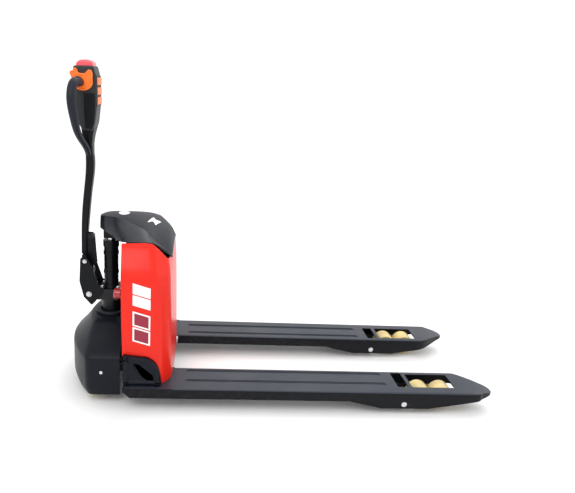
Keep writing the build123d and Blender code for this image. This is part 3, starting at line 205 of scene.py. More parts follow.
def edge_wear():
    """Mask of rubbed outer edges, broken up by noise."""
    group, start, end = node_group(
        "edge wear",
        (("Vector", "Vector", None), ("Amount", "Float", 0.3), ("Scale", "Float", 60.0)),
        (("Mask", "Float"),),
    )
    shape = add_node(group, "NewGeometry")
    noise = texture(group, start, "TexNoise", 6)
    edge = add_node(group, "MapRange", ((0, shape.outputs["Pointiness"]), (1, 0.52), (2, 0.62)))
    patch = add_node(group, "MapRange", ((0, noise.outputs[0]), (1, 0.48), (2, 0.66)))
    both = add_node(group, "Math", ((0, edge.outputs[0]), (1, patch.outputs[0])), operation="MULTIPLY")
    mask = add_node(group, "Math", ((0, both.outputs[0]), (1, start.outputs["Amount"])), operation="MULTIPLY")
    group.links.new(mask.outputs[0], end.inputs["Mask"])
    return group


def settled_dust():
    """Mask of fine dust on what faces up."""
    group, start, end = node_group(
        "settled dust",
        (("Vector", "Vector", None), ("Amount", "Float", 0.2), ("Scale", "Float", 9.0)),
        (("Mask", "Float"),),
    )
    shape = add_node(group, "NewGeometry")
    facing = add_node(group, "SeparateXYZ", ((0, shape.outputs["Normal"]),))
    up = add_node(group, "MapRange", ((0, facing.outputs["Z"]), (1, 0.2), (2, 1.0)))
    noise = texture(group, start, "TexNoise", 8)
    cloud = add_node(group, "MapRange", ((0, noise.outputs[0]), (1, 0.4), (2, 0.75)))
    both = add_node(group, "Math", ((0, up.outputs[0]), (1, cloud.outputs[0])), operation="MULTIPLY")
    mask = add_node(group, "Math", ((0, both.outputs[0]), (1, start.outputs["Amount"])), operation="MULTIPLY")
    group.links.new(mask.outputs[0], end.inputs["Mask"])
    return group


def rubbed_streaks():
    """Fine directional marks, such as turning lines or handling scuffs."""
    group, start, end = node_group(
        "rubbed streaks",
        (("Vector", "Vector", None), ("Stretch", "Vector", (1, 1, 1)), ("Scale", "Float", 90.0)),
        (("Height", "Float"), ("Mask", "Float")),
    )
    stretched = ((0, start.outputs["Vector"]), (1, start.outputs["Stretch"]))
    spread = add_node(group, "VectorMath", stretched, operation="MULTIPLY")
    noise = add_node(group, "TexNoise", (("Vector", spread.outputs[0]), ("Scale", start.outputs["Scale"])))
    noise.inputs["Detail"].default_value = 5
    mask = add_node(group, "MapRange", ((0, noise.outputs[0]), (1, 0.62), (2, 0.72)))
    group.links.new(noise.outputs[0], end.inputs["Height"])
    group.links.new(mask.outputs[0], end.inputs["Mask"])
    return group


EFFECTS = {}
FINISHES = {}


def make_finish(name, tone, **choice):
    """One Principled material: tone drift, worn edges, dust, streaks and grain, as this finish has them."""
    look = dict(
        spread=0.25, drift=7.0, rough=(0.35, 0.5), metal=0.0, coat=0.0, coat_rough=0.15, grain=600.0,
        depth=0.00003,
        soft=0.5, wear=0.0, wear_tone=(0.35, 0.35, 0.36), dust=0.0, dust_tone=(0.45, 0.42, 0.38),
        stretch=(1, 1, 1), streak=90.0, streak_depth=0.0, scuff=0.0, specular=0.5,
    )
    look.update(choice)
    material = bpy.data.materials.new(name)
    material.use_nodes = True
    tree = material.node_tree
    shader = tree.nodes["Principled BSDF"]
    place = add_node(tree, "TexCoord").outputs["Object"]

    def effect(kind, **values):
        node = add_node(tree, "Group", node_tree=EFFECTS[kind])
        tree.links.new(place, node.inputs["Vector"])
        for key, value in values.items():
            node.inputs[key].default_value = value
        return node

    light = tuple(min(1.0, c * (1 + look["spread"])) for c in tone)
    dark = tuple(c * (1 - look["spread"]) for c in tone)
    drift = effect("tone drift", Scale=look["drift"], Light=(*light, 1), Dark=(*dark, 1))
    base = drift.outputs["Color"]
    for kind, amount, over in (
        ("edge wear", look["wear"], look["wear_tone"]),
        ("settled dust", look["dust"], look["dust_tone"]),
    ):
        if amount:
            mask = effect(kind, Amount=amount)
            mix = add_node(
                tree, "Mix", ((0, mask.outputs["Mask"]), (6, base), (7, (*over, 1))), data_type="RGBA"
            )
            base = mix.outputs[2]
    tree.links.new(base, shader.inputs["Base Color"])
    low, high = look["rough"]
    rough = add_node(tree, "MapRange", ((0, drift.outputs["Value"]), (3, low), (4, high))).outputs[0]
    streaks = effect("rubbed streaks", Stretch=look["stretch"], Scale=look["streak"])
    if look["scuff"]:
        marks = ((0, streaks.outputs["Mask"]), (1, look["scuff"]), (2, rough))
        rough = add_node(tree, "Math", marks, operation="MULTIPLY_ADD").outputs[0]
    tree.links.new(rough, shader.inputs["Roughness"])
    shader.inputs["Metallic"].default_value = look["metal"]
    shader.inputs["Coat Weight"].default_value = look["coat"]
    shader.inputs["Coat Roughness"].default_value = look["coat_rough"]
    shader.inputs["Specular IOR Level"].default_value = look["specular"]
    grain = effect("fine grain", Scale=look["grain"], Softness=look["soft"])
    fine = add_node(tree, "Bump", (("Height", grain.outputs["Height"]),))
    fine.inputs["Distance"].default_value = look["depth"]
    fine.inputs["Strength"].default_value = 1.0
    last = fine
    if look["streak_depth"]:
        last = add_node(tree, "Bump", (("Height", streaks.outputs["Height"]), ("Normal", fine.outputs[0])))
        last.inputs["Distance"].default_value = look["streak_depth"]
    tree.links.new(last.outputs[0], shader.inputs["Normal"])
    FINISHES[name] = material


# ---- mesh helpers ----
def put(name, mesh, body, finishes, replaced=()):
    """Adds a mesh as a piece: its finishes, its CAD body and the nodes it stands for."""
    piece = bpy.data.objects.new(name, mesh)
    bpy.context.scene.collection.objects.link(piece)
    mesh.materials.clear()
    for finish in [finishes] if isinstance(finishes, str) else finishes:
        mesh.materials.append(FINISHES[finish])
    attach(piece, body)
    if replaced:
        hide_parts(*replaced)
    return piece


def round_edges(piece, width, steps=2, angle=30):
    for face in piece.data.polygons:
        face.use_smooth = True
    edge = piece.modifiers.new("rounded edges", "BEVEL")
    edge.width = width
    edge.segments = steps
    edge.limit_method = "ANGLE"
    edge.angle_limit = radians(angle)
    edge.harden_normals = True
    return piece


def mesh_of(name, points, faces):
    mesh = bpy.data.meshes.new(name)
    mesh.from_pydata(points, [], faces)
    mesh.update()
    return mesh


def soften(node, finish, width, steps=2, angle=30):
    """A finer copy of a CAD node, its flat faces joined and its edges rounded."""
    source = frame["nodes"][node].data
    form = bmesh.new()
    form.from_mesh(source)
    bmesh.ops.remove_doubles(form, verts=form.verts, dist=2e-6)
    bmesh.ops.dissolve_limit(form, angle_limit=radians(0.3), verts=form.verts, edges=form.edges)
    points = [v.co.copy() for v in form.verts]
    form.verts.index_update()
    faces = [[v.index for v in face.verts] for face in form.faces]
    form.free()
    body = frame["nodes"][node]["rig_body"]
    piece = put(f"{node}_finish", mesh_of(node, points, faces), body, finish, (node,))
    return round_edges(piece, width, steps, angle)


def sheet_grid(rows, closed=False):
    """Points and quads of rows of equal length."""
    wide = len(rows[0])
    points = [Vector(p) for row in rows for p in row]
    faces = []
    for r in range(len(rows) - 1):
        for c in range(wide if closed else wide - 1):
            d = (c + 1) % wide
            faces.append((r * wide + c, r * wide + d, (r + 1) * wide + d, (r + 1) * wide + c))
    return points, faces


def capped(rings):
    """Points and faces of closed rings with a flat face over the first and the last."""
    points, faces = sheet_grid(rings, closed=True)
    count = len(rings[0])
    faces.append(tuple(range(count)))
    faces.append(tuple(reversed(range(len(points) - count, len(points)))))
    return points, faces


def rounded(corners, radii, steps=5, closed=False):
    """A line through these corners, each turned into a curve that starts its radius before the corner."""
    line = []
    count = len(corners)
    for i, (corner, radius) in enumerate(zip(corners, radii)):
        if not closed and i in (0, count - 1):
            line.append(Vector(corner))
            continue
        here = Vector(corner)
        back = Vector(corners[i - 1]) - here
        ahead = Vector(corners[(i + 1) % count]) - here
        a = here + back.normalized() * min(radius, back.length * 0.48)
        b = here + ahead.normalized() * min(radius, ahead.length * 0.48)
        for k in range(steps + 1):
            t = k / steps
            line.append(a * (1 - t) ** 2 + here * 2 * t * (1 - t) + b * t * t)
    return line


def between(table, key):
    """The rest of the table's row at this key, taken in straight lines between its rows."""
    if key <= table[0][0]:
        return table[0][1:]
    for low, high in zip(table, table[1:]):
        if key <= high[0]:
            share = (key - low[0]) / (high[0] - low[0])
            return tuple(a + (b - a) * share for a, b in zip(low[1:], high[1:]))
    return table[-1][1:]


def solid(piece, thickness, offset=-1.0):
    wall = piece.modifiers.new("wall", "SOLIDIFY")
    wall.thickness = thickness
    wall.offset = offset
    return piece


def prism(outline, near, far, radii=None):
    """Points and faces of an outline in XZ, from y near to y far."""
    line = [Vector((x, z)) for x, z in outline]
    if radii:
        line = rounded(line, radii, 4, closed=True)
    count = len(line)
    points = [(p.x, near, p.y) for p in line] + [(p.x, far, p.y) for p in line]
    faces = [tuple(range(count)), tuple(range(2 * count - 1, count - 1, -1))]
    faces += [((k + 1) % count, k, count + k, count + (k + 1) % count) for k in range(count)]
    return points, faces


def outward(mesh):
    form = bmesh.new()
    form.from_mesh(mesh)
    bmesh.ops.recalc_face_normals(form, faces=form.faces)
    form.to_mesh(mesh)
    form.free()
    return mesh


def face_out(piece, direction):
    """Turns an open sheet so that it faces this way."""
    total = Vector()
    for face in piece.data.polygons:
        total += face.normal * face.area
    if total.dot(Vector(direction)) < 0:
        piece.data.flip_normals()
    return piece


def lay_on(target, outline, axis, start):
    """Carries a flat mesh's points onto the target, along the axis (a unit vector) from where they start."""
    tree = BVHTree.FromObject(target, bpy.context.evaluated_depsgraph_get())
    places = []
    for point in outline:
        spot = Vector(point) - Vector(axis) * start
        hit, normal, _, _ = tree.ray_cast(spot, Vector(axis))
        if hit is None:
            raise RuntimeError(f"a mark falls off {target.name} at {tuple(point)}")
        places.append((hit, normal if normal.dot(Vector(axis)) < 0 else -normal))
    return places


# ---- battery box panels ----
PANEL_LEVELS = (  # height, rear, crease, front, half width, half width in front
    (0.086, -0.171, -0.040, -0.010, 0.250, 0.205),
    (0.300, -0.176, -0.047, -0.014, 0.250, 0.205),
    (0.470, -0.178, -0.064, -0.020, 0.250, 0.205),
    (0.576, -0.182, -0.080, -0.040, 0.192, 0.150),
)
PANEL_TOPS = (
    (-0.190, 0.570), (-0.181, 0.570), (-0.140, 0.572), (-0.106, 0.574), (-0.080, 0.571),
    (-0.057, 0.549), (-0.033, 0.520), (-0.019, 0.507), (0.010, 0.494),
)
ARCH_TOPS = (
    (-0.190, 0.190), (-0.097, 0.190), (-0.084, 0.186), (-0.072, 0.178), (-0.062, 0.169),
    (-0.055, 0.158), (-0.049, 0.144), (-0.0445, 0.122), (-0.0415, 0.090), (-0.041, 0.086),
)
BULGE = 0.008
PANEL_LOW, PANEL_HIGH = 0.086, 0.576
PANEL_ROWS, FRONT_COLUMNS = 40, 13


def panel_level(z):
    """The panel's plan at this height, softened over the bend at its shoulder."""
    spread = (-0.022, -0.011, 0.0, 0.011, 0.022)
    rows = [between(PANEL_LEVELS, min(max(z + s, PANEL_LOW), PANEL_HIGH)) for s in spread]
    return [sum(values) / len(rows) for values in zip(*rows)]


def panel_line(z, crease_round):
    """The side's line at this height: rear edge, flat side, crease, chamfer, front corner."""
    rear, crease, front, half, front_half = panel_level(z)
    turn = crease_round * 1.6
    flat = [(rear + (crease - turn - rear) * k / 28, half) for k in range(1, 28)]
    corners = [(rear, half), (crease, half), (front, front_half), (front + BULGE * 0.3, front_half * 0.8)]
    line = rounded(corners, (0, turn, turn, 0), 5)
    return [line[0]] + [Vector(p) for p in flat] + line[1:-1]


def front_line(z):
    """Half the front face's line at this height, from its corner to the middle."""
    _, _, front, _, front_half = panel_level(z)
    return [
        Vector((front + BULGE * (1 - (1 - k / 12) ** 2), front_half * (1 - k / 12) - 0.0055 * (1 - k / 12)))
        for k in range(FRONT_COLUMNS)
    ]


def fit_rows(line_at, count, low_at, high_at, rows):
    """Columns of a panel, each run from its own lower to its own upper edge."""
    columns = []
    for c in range(count):
        low, high = PANEL_LOW, 0.570
        for _ in range(14):
            low += (low_at(line_at(low)[c].x) - low) * 0.6
            high += (high_at(line_at(high)[c].x) - high) * 0.6
        columns.append([low + (high - low) * r / rows for r in range(rows + 1)])
    return columns


class TRUCK_OT_panels(bpy.types.Operator):
    """Build the painted panels around the battery box"""

    bl_idname = "truck.panels"
    bl_label = "Panels"

    def execute(self, context):
        sizes = context.scene.truck_sizes
        radius = sizes.crease_round

        def top(x):
            return between(PANEL_TOPS, x)[0]

        def side_at(z):
            return panel_line(z, radius)

        count = len(side_at(0.3))
        heights = fit_rows(side_at, count, lambda x: between(ARCH_TOPS, x)[0], top, PANEL_ROWS)
        for side, name in SIDES:
            grid = []
            for r in range(PANEL_ROWS + 1):
                spots = [(side_at(heights[c][r])[c], heights[c][r]) for c in range(count)]
                grid.append([(at(p.x), side * p.y, z) for p, z in spots])
            points, faces = sheet_grid(grid)
            mesh = outward(mesh_of("panel", points, faces))
            self.skin(f"panel_{name}", mesh, f"side_panel_{name}", (0, side, 0), sizes.panel_skin)
        heights = fit_rows(front_line, FRONT_COLUMNS, lambda x: PANEL_LOW, top, PANEL_ROWS)
        grid = []
        for r in range(PANEL_ROWS + 1):
            half = [(front_line(heights[c][r])[c], heights[c][r]) for c in range(FRONT_COLUMNS)]
            row = [(at(p.x), p.y, z) for p, z in half]
            grid.append(row + [(x, -y, z) for x, y, z in reversed(row[:-1])])
        points, faces = sheet_grid(grid)
        self.skin("panel_front", mesh_of("panel", points, faces), "front_panel", (1, 0, 0), sizes.panel_skin)
        return {"FINISHED"}

    def skin(self, name, mesh, node, direction, thickness):
        piece = put(name, mesh, "chassis", "panel paint", (node,))
        solid(face_out(piece, direction), thickness)
        round_edges(piece, 0.0009, 2, 50)


# ---- marks ----
class TRUCK_OT_marks(bpy.types.Operator):
    """Lay plain slanted bars on the side panels and blank labels on the cowl"""

    bl_idname = "truck.marks"
    bl_label = "Marks"

    def execute(self, context):
        lift = context.scene.truck_sizes.mark_lift
        for side, name in SIDES:
            panel = bpy.data.objects[f"panel_{name}"]
            for label, finish, bars, raise_by in (
                ("solid", "mark white", MARK_SOLID, 1.0),
                ("outline", "mark white", MARK_OUTER, 1.0),
                ("fill", "mark maroon", MARK_INNER, 2.0),
            ):
                points, faces = [], []
                for outline in bars:
                    self.bar(points, faces, outline, side, panel, lift * raise_by)
                mesh = mesh_of("mark", points, faces)
                piece = put(f"mark_{label}_{name}", mesh, "chassis", finish)
                face_out(piece, (0, side, 0))
        cowl = bpy.data.objects["cowl_shell"]
        for label, outline in (("badge", BADGE), ("label", STICKER)):
            points = [(at(x), y, 0.8) for x, y in outline]
            centre_x, centre_y = (sum(p[k] for p in points) / len(points) for k in (0, 1))
            centre = Vector((centre_x, centre_y, 0.8))
            shares = (0.02, 0.35, 0.7, 1.0)
            rings = [[centre + (Vector(p) - centre) * share for p in points] for share in shares]
            flat, faces = sheet_grid(rings, closed=True)
            spots = lay_on(cowl, flat, (0, 0, -1), 0.2)
            mesh = mesh_of(label, [h + n * lift for h, n in spots], faces)
            piece = put(f"cowl_{label}", mesh, "chassis", "mark white")
            face_out(piece, (0, 0, 1))
        return {"FINISHED"}

    def bar(self, points, faces, outline, side, panel, lift):
        (ax, az), (bx, bz), (cx, cz), (dx, dz) = outline
        first = len(points)
        steps = 10
        flat = []
        for r in range(steps + 1):
            for c in range(5):
                u, v = c / 4, r / steps
                x = (ax + (bx - ax) * u) * (1 - v) + (dx + (cx - dx) * u) * v
                z = (az + (bz - az) * u) * (1 - v) + (dz + (cz - dz) * u) * v
                flat.append((at(x), side * 0.5, z))
        spots = lay_on(panel, flat, (0, -side, 0), 0.0)
        points.extend(h + n * lift for h, n in spots)
        for r in range(steps):
            for c in range(4):
                a = first + r * 5 + c
                faces.append((a, a + 1, a + 6, a + 5))


MARK_START, MARK_END, MARK_SLANT = -0.139, -0.081, 0.017
MARK_FRAME = 0.0055  # width of an outlined bar's line


def slanted_bar(low, high, frame_width=0.0):
    """A bar of the panel's mark in XZ, lower towards the forks, or the inside of its outline."""
    near, far = MARK_START + frame_width, MARK_END - frame_width
    fall = MARK_SLANT * (far - near) / (MARK_END - MARK_START)
    drop = MARK_SLANT * frame_width / (MARK_END - MARK_START)
    low, high = low + frame_width - drop, high - frame_width - drop
    return ((near, low), (far, low - fall), (far, high - fall), (near, high))


OUTLINED_BARS = ((0.247, 0.299), (0.303, 0.355))
MARK_SOLID = (slanted_bar(0.376, 0.4125), slanted_bar(0.4165, 0.453))
MARK_OUTER = tuple(slanted_bar(low, high) for low, high in OUTLINED_BARS)
MARK_INNER = tuple(slanted_bar(low, high, MARK_FRAME) for low, high in OUTLINED_BARS)
BADGE_TURNS = tuple(2 * pi * k / 32 for k in range(32))
BADGE = tuple((-0.197 + 0.019 * cos(turn), -0.004 + 0.023 * sin(turn)) for turn in BADGE_TURNS)
STICKER = tuple(
    (-0.088 + x + 0.25 * y, -0.040 + y)
    for x, y in [
        (0.014 * s, t) for s, t in [(-1, -0.03), (-1, -0.015), (-1, 0), (-1, 0.015), (-1, 0.03)]
    ] + [(0.014 * s, t) for s, t in [(1, 0.03), (1, 0.015), (1, 0), (1, -0.015), (1, -0.03)]]
)


# ---- cowl ----
COWL_STATIONS = (  # x, lower half width, lower z, crease half width, crease z, top z
    (-0.280, 0.020, 0.571, 0.009, 0.611, 0.613),
    (-0.277, 0.026, 0.571, 0.014, 0.6125, 0.615),
    (-0.266, 0.044, 0.570, 0.026, 0.616, 0.620),
    (-0.252, 0.068, 0.569, 0.038, 0.618, 0.622),
    (-0.228, 0.101, 0.569, 0.045, 0.618, 0.624),
    (-0.200, 0.163, 0.570, 0.054, 0.616, 0.625),
    (-0.182, 0.192, 0.571, 0.066, 0.612, 0.625),
    (-0.140, 0.192, 0.573, 0.098, 0.603, 0.623),
    (-0.106, 0.192, 0.575, 0.125, 0.594, 0.618),
    (-0.092, 0.192, 0.574, 0.146, 0.582, 0.613),
    (-0.080, 0.190, 0.572, 0.168, 0.5745, 0.606),
    (-0.057, 0.170, 0.551, 0.160, 0.557, 0.591),
    (-0.040, 0.154, 0.529, 0.148, 0.538, 0.579),
    (-0.028, 0.146, 0.518, 0.138, 0.527, 0.565),
    (-0.018, 0.138, 0.507, 0.126, 0.515, 0.532),
)


class TRUCK_OT_cowl(bpy.types.Operator):
    """Build the cowl over the mast and battery, with its matt roof and glossy sides"""

    bl_idname = "truck.cowl"
    bl_label = "Cowl"

    def execute(self, context):
        grid = []
        for x, low_half, low, half, high, top in COWL_STATIONS:
            run = []
            for share in (0.0, 0.06, 0.5, 0.94):
                out = sin(pi * share) * 0.003
                wide = low_half + (half - low_half) * share + out
                run.append((wide, low + (high - low) * share + out * 0.4))
            crown = [(half, high)]
            for share in (0.9, 0.65, 0.33, 0.0):
                crown.append((half * share, high + (top - high) * (1 - share**2.4)))
            side = run + crown
            grid.append([(at(x), y, z) for y, z in side] + [(at(x), -y, z) for y, z in reversed(side[:-1])])
        points, faces = sheet_grid(grid)
        wide = len(grid[0])
        faces.append(tuple(range(wide)))
        last = (len(grid) - 1) * wide
        faces.append(tuple(reversed(range(last, last + wide))))
        mesh = outward(mesh_of("cowl", points, faces))
        crease = mesh.attributes.new("crease_edge", "FLOAT", "EDGE")
        ends = {0, wide - 1}
        roof_start, roof_end = 4, wide - 5
        for edge in mesh.edges:
            a, b = (v % wide for v in edge.vertices)
            rows = {v // wide for v in edge.vertices}
            if a == b and a in {roof_start, roof_end}:
                crease.data[edge.index].value = 0.93
            if (a == b and a in ends) or len(rows) == 1 and rows <= {0, len(grid) - 1}:
                crease.data[edge.index].value = 1.0
        piece = put("cowl_shell", mesh, "chassis", ("moulding gloss", "cowl roof"), ("cowl",))
        for face in mesh.polygons:
            columns = [v % wide for v in face.vertices]
            on_roof = min(columns) >= roof_start and max(columns) <= roof_end
            face.material_index = int(len(columns) == 4 and on_roof)
            face.use_smooth = True
        fine = piece.modifiers.new("smooth form", "SUBSURF")
        fine.levels = 3
        fine.render_levels = 3
        return {"FINISHED"}


# ---- shroud ----
SHROUD_ROWS = (  # z, half width, rear, corner x, corner radius
    (0.030, 0.232, 0.368, 0.288, 0.030),
    (0.034, 0.2345, 0.371, 0.289, 0.031),
    (0.060, 0.240, 0.378, 0.294, 0.034),
    (0.110, 0.240, 0.378, 0.294, 0.034),
    (0.163, 0.240, 0.378, 0.294, 0.034),
    (0.1705, 0.2385, 0.3768, 0.2938, 0.034),
    (0.176, 0.2345, 0.3728, 0.2936, 0.033),
    (0.190, 0.2085, 0.3595, 0.2928, 0.031),
    (0.210, 0.1775, 0.3425, 0.292, 0.028),
    (0.230, 0.1435, 0.3275, 0.291, 0.025),
    (0.243, 0.1215, 0.3185, 0.2903, 0.022),
    (0.2475, 0.1130, 0.3150, 0.290, 0.021),
    (0.250, 0.1040, 0.3085, 0.289, 0.018),
)


SHROUD_FRONT = -0.1832
SHROUD_COLUMNS = 64
MAST_HOLE, MAST_HOLE_Z = 0.043, 0.250
HOLE_START, HOLE_SWEEP = radians(58), radians(244)  # the part of the hole's edge that the shroud closes on


def shroud_line(half, rear, corner, radius):
    """The shroud's plan, from its front on the left round the bowed rear to its front on the right."""
    side = [(SHROUD_FRONT - (corner + SHROUD_FRONT - radius) * k / 8, half) for k in range(9)]
    bow = []
    for k in range(1, 24):
        t = k / 24
        bow.append((-(corner + (rear - corner) * (1 - (2 * t - 1) ** 2)), half * (1 - 2 * t)))
    corners = [(side[-1][0], half), (-corner, half), bow[0]]
    turn = rounded(corners, (0, radius * 0.9, 0), 6)[1:-1]
    start = [Vector(p) for p in side] + turn
    middle = [Vector(p) for p in bow if abs(p[1]) < half - radius * 0.9]
    mirror = [Vector((p.x, -p.y)) for p in reversed(start)]
    return start + middle + mirror


class TRUCK_OT_shroud(bpy.types.Operator):
    """Build the moulded shroud over the drive wheel, its collar and its screws"""

    bl_idname = "truck.shroud"
    bl_label = "Shroud"

    def execute(self, context):
        grid = []
        for z, half, rear, corner, radius in SHROUD_ROWS:
            dense = shroud_line(half, rear, corner, radius)
            runs = [0.0]
            for a, b in zip(dense, dense[1:]):
                runs.append(runs[-1] + (b - a).length)
            line = []
            for k in range(SHROUD_COLUMNS + 1):
                want = runs[-1] * k / SHROUD_COLUMNS
                i = max(j for j in range(len(runs)) if runs[j] <= want + 1e-9)
                i = min(i, len(dense) - 2)
                share = (want - runs[i]) / max(runs[i + 1] - runs[i], 1e-9)
                line.append(dense[i].lerp(dense[i + 1], min(share, 1.0)))
            grid.append([(at(p.x), p.y, z) for p in line])
        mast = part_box("cylinder_gland")
        mast_x = (mast[0].x + mast[1].x) / 2
        inner = []
        for k in range(len(grid[0])):
            turn = HOLE_START + HOLE_SWEEP * k / (len(grid[0]) - 1)
            inner.append((mast_x + MAST_HOLE * cos(turn), MAST_HOLE * sin(turn), MAST_HOLE_Z))
        grid.append([Vector(a).lerp(Vector(b), 0.5) for a, b in zip(grid[-1], inner)])
        grid.append(inner)
        points, faces = sheet_grid(grid)
        mesh = mesh_of("shroud", points, faces)
        piece = put("shroud_shell", mesh, "base", "moulding", ("drive_shroud",))
        face_out(piece, (-1, 0, 0.5))
        solid(piece, 0.0035)
        round_edges(piece, 0.001, 2, 60)
        soften("shroud_collar", "soft rubber", 0.0015, 3)
        soften("shroud_screws", "bright steel", 0.0012, 3)
        return {"FINISHED"}


ARCH_GAP = 0.0008  # under the edge of the painted panel
ARCH_LAYERS = (  # depth below the outer face, inset from the outline
    (0.0180, 0.0), (0.0110, 0.0), (0.0065, 0.0012), (0.0030, 0.0040), (0.0010, 0.0080), (0.0, 0.0125),
    (0.0, 0.0180), (0.0020, 0.0200), (0.0022, 0.0230),
)


class TRUCK_OT_covers(bpy.types.Operator):
    """Round off the arch covers beside the forks"""

    bl_idname = "truck.covers"
    bl_label = "Arch covers"

    def execute(self, context):
        low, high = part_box("arch_covers")
        arch = [Vector((at(x), z - ARCH_GAP)) for x, z in ARCH_TOPS[1:-1]]
        corners = [Vector((low.x, high.z - ARCH_GAP)), *arch, Vector((high.x, low.z)), Vector((low.x, low.z))]
        outline = rounded(corners, (0.003, *(0.006,) * len(arch), 0.003, 0.003), 3, closed=True)
        centre = sum(outline, Vector((0, 0))) / len(outline)
        for side, name in SIDES:
            grid = []
            for y, inset in ARCH_LAYERS:
                ring = []
                for k, p in enumerate(outline):
                    run = (outline[(k + 1) % len(outline)] - outline[k - 1]).normalized()
                    inward = Vector((-run.y, run.x))
                    if inward.dot(centre - p) < 0:
                        inward = -inward
                    spot = p + inward * inset
                    ring.append((spot.x, side * (high.y - y), spot.y))
                grid.append(ring)
            points, faces = capped(grid)
            piece = put_round(f"arch_cover_{name}", points, faces, "chassis", "moulding", 0.0008)
            if side > 0:
                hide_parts("arch_covers")
        return {"FINISHED"}


def paint_side_shade(piece):
    """Only faces that look up keep the lighter fork paint; the rest take a darker finish, painted shade on
    the sides of the plates.
    """
    piece.data.materials.append(FINISHES["side paint"])
    for face in piece.data.polygons:
        face.material_index = int(face.normal.z < 0.5)


class TRUCK_OT_forks(bpy.types.Operator):
    """Finish the forks, the chassis plates and the pins through them"""

    bl_idname = "truck.forks"
    bl_label = "Forks"

    def execute(self, context):
        edge = context.scene.truck_sizes.steel_round
        for node in ("fork_left", "fork_right"):
            # painted shade: the side faces of the forks and chassis frame get the darker black finish, the
            # tops keep the lighter fork colour
            paint_side_shade(soften(node, "fork paint", edge * 1.4, 3, 24))
        paint_side_shade(soften("chassis_frame", "fork paint", edge))
        soften("pivot_pins", "bright steel", 0.0008)
        return {"FINISHED"}


class TRUCK_OT_running_gear(bpy.types.Operator):
    """Finish the load rollers, their bogies, the load frames and the linkage"""

    bl_idname = "truck.running_gear"
    bl_label = "Running gear"

    def execute(self, context):
        edge = context.scene.truck_sizes.steel_round
        for _, name in SIDES:
            soften(f"load_frame_{name}", "link paint", edge)
            soften(f"push_rod_{name}", "link paint", edge)
            soften(f"bogie_{name}", "plated steel", edge * 0.8)
            for place in ("rear", "front"):
                soften(f"roller_{name}_{place}", "tread", 0.0012, 3)
            soften(f"caster_yoke_{name}", "plated steel", edge * 0.8)
            soften(f"caster_wheel_{name}", "tread", 0.001)
        soften("rocker", "link paint", edge)
        return {"FINISHED"}


class TRUCK_OT_drive(bpy.types.Operator):
    """Finish the drive wheel, its motor and the base that carries them"""

    bl_idname = "truck.drive"
    bl_label = "Drive unit"

    def execute(self, context):
        edge = context.scene.truck_sizes.steel_round
        soften("base_frame", "link paint", edge)
        soften("steering_bearing", "bright steel", edge)
        soften("steer_yoke", "black paint", edge)
        soften("drive_motor", "black paint", edge * 1.5)
        soften("drive_hub", "cast iron", edge)
        soften("drive_tyre", "tyre", 0.002, 3)
        return {"FINISHED"}


class TRUCK_OT_mast(bpy.types.Operator):
    """Finish the lift cylinder on its block, with fittings and bolts"""

    bl_idname = "truck.mast"
    bl_label = "Mast"

    def execute(self, context):
        edge = context.scene.truck_sizes.steel_round
        soften("head_block", "black paint", edge * 1.5, 3)
        soften("lift_cylinder", "cylinder paint", edge)
        soften("cylinder_gland", "cylinder paint", edge)
        soften("piston_rod", "chrome", 0.0008)
        low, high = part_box("lift_cylinder")
        x = (low.x + high.x) / 2
        radius = (high.x - low.x) / 2
        foot, middle = (low.z, 0.014, 0.004), (low.z + 0.055, 0.010, 0.0022)
        head = (high.z - 0.030, 0.012, 0.0022)
        points, faces = [], []
        for z, height, grow in (foot, middle, head):
            add_ring(points, faces, (x, 0, z), radius - 0.001, radius + grow, height, 48)
        put_round("cylinder_bands", points, faces, "steer_head", "cylinder paint", 0.0008)
        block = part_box("head_block")
        points, faces = [], []
        for sx, sy in ((0.026, 0.024), (0.026, -0.024), (-0.030, 0.024), (-0.030, -0.024)):
            add_bolt(points, faces, (x + sx, sy, block[1].z), (0, 0, 1), 0.0065, 0.0055)
        put_round("block_bolts", points, faces, "steer_head", "bright steel", 0.0005)
        return {"FINISHED"}


def put_round(name, points, faces, body, finish, width):
    piece = put(name, outward(mesh_of(name, points, faces)), body, finish)
    return round_edges(piece, width, 2, 35)


def add_ring(points, faces, foot, inner, outer, height, count):
    """A plain collar around Z."""
    first = len(points)
    for radius, z in ((inner, 0), (outer, 0), (outer, height), (inner, height)):
        for k in range(count):
            turn = 2 * pi * k / count
            points.append((foot[0] + radius * cos(turn), foot[1] + radius * sin(turn), foot[2] + z))
    for r in range(4):
        for k in range(count):
            a, b = first + r * count + k, first + r * count + (k + 1) % count
            c, d = first + (r + 1) % 4 * count + (k + 1) % count, first + (r + 1) % 4 * count + k
            faces.append((a, b, c, d))


def add_bolt(points, faces, foot, axis, radius, height, sides=6, washer=1.35):
    """A washer with a hexagon head on it, standing on foot along axis, with a chamfered top."""
    turn = Vector((0, 0, 1)).rotation_difference(Vector(axis)).to_matrix()
    foot = Vector(foot)

    def disc_of(size, count, z):
        steps = (2 * pi * k / count for k in range(count))
        return [foot + turn @ Vector((size * cos(step), size * sin(step), z)) for step in steps]

    for count, rows in (
        (24, ((radius * washer, 0.0), (radius * washer, height * 0.22))),
        (sides, ((radius, height * 0.22), (radius, height * 0.92), (radius * 0.86, height))),
    ):
        first = len(points)
        for size, z in rows:
            points.extend(disc_of(size, count, z))
        for r in range(len(rows) - 1):
            for k in range(count):
                a, b = first + r * count + k, first + r * count + (k + 1) % count
                faces.append((a, b, b + count, a + count))
        faces.append(tuple(range(first + count - 1, first - 1, -1)))
        top = first + (len(rows) - 1) * count
        faces.append(tuple(range(top, top + count)))


ARM_CHEEK = (
    (-0.327, 0.545), (-0.309, 0.545), (-0.303, 0.532), (-0.300, 0.480), (-0.296, 0.430), (-0.327, 0.430),
)


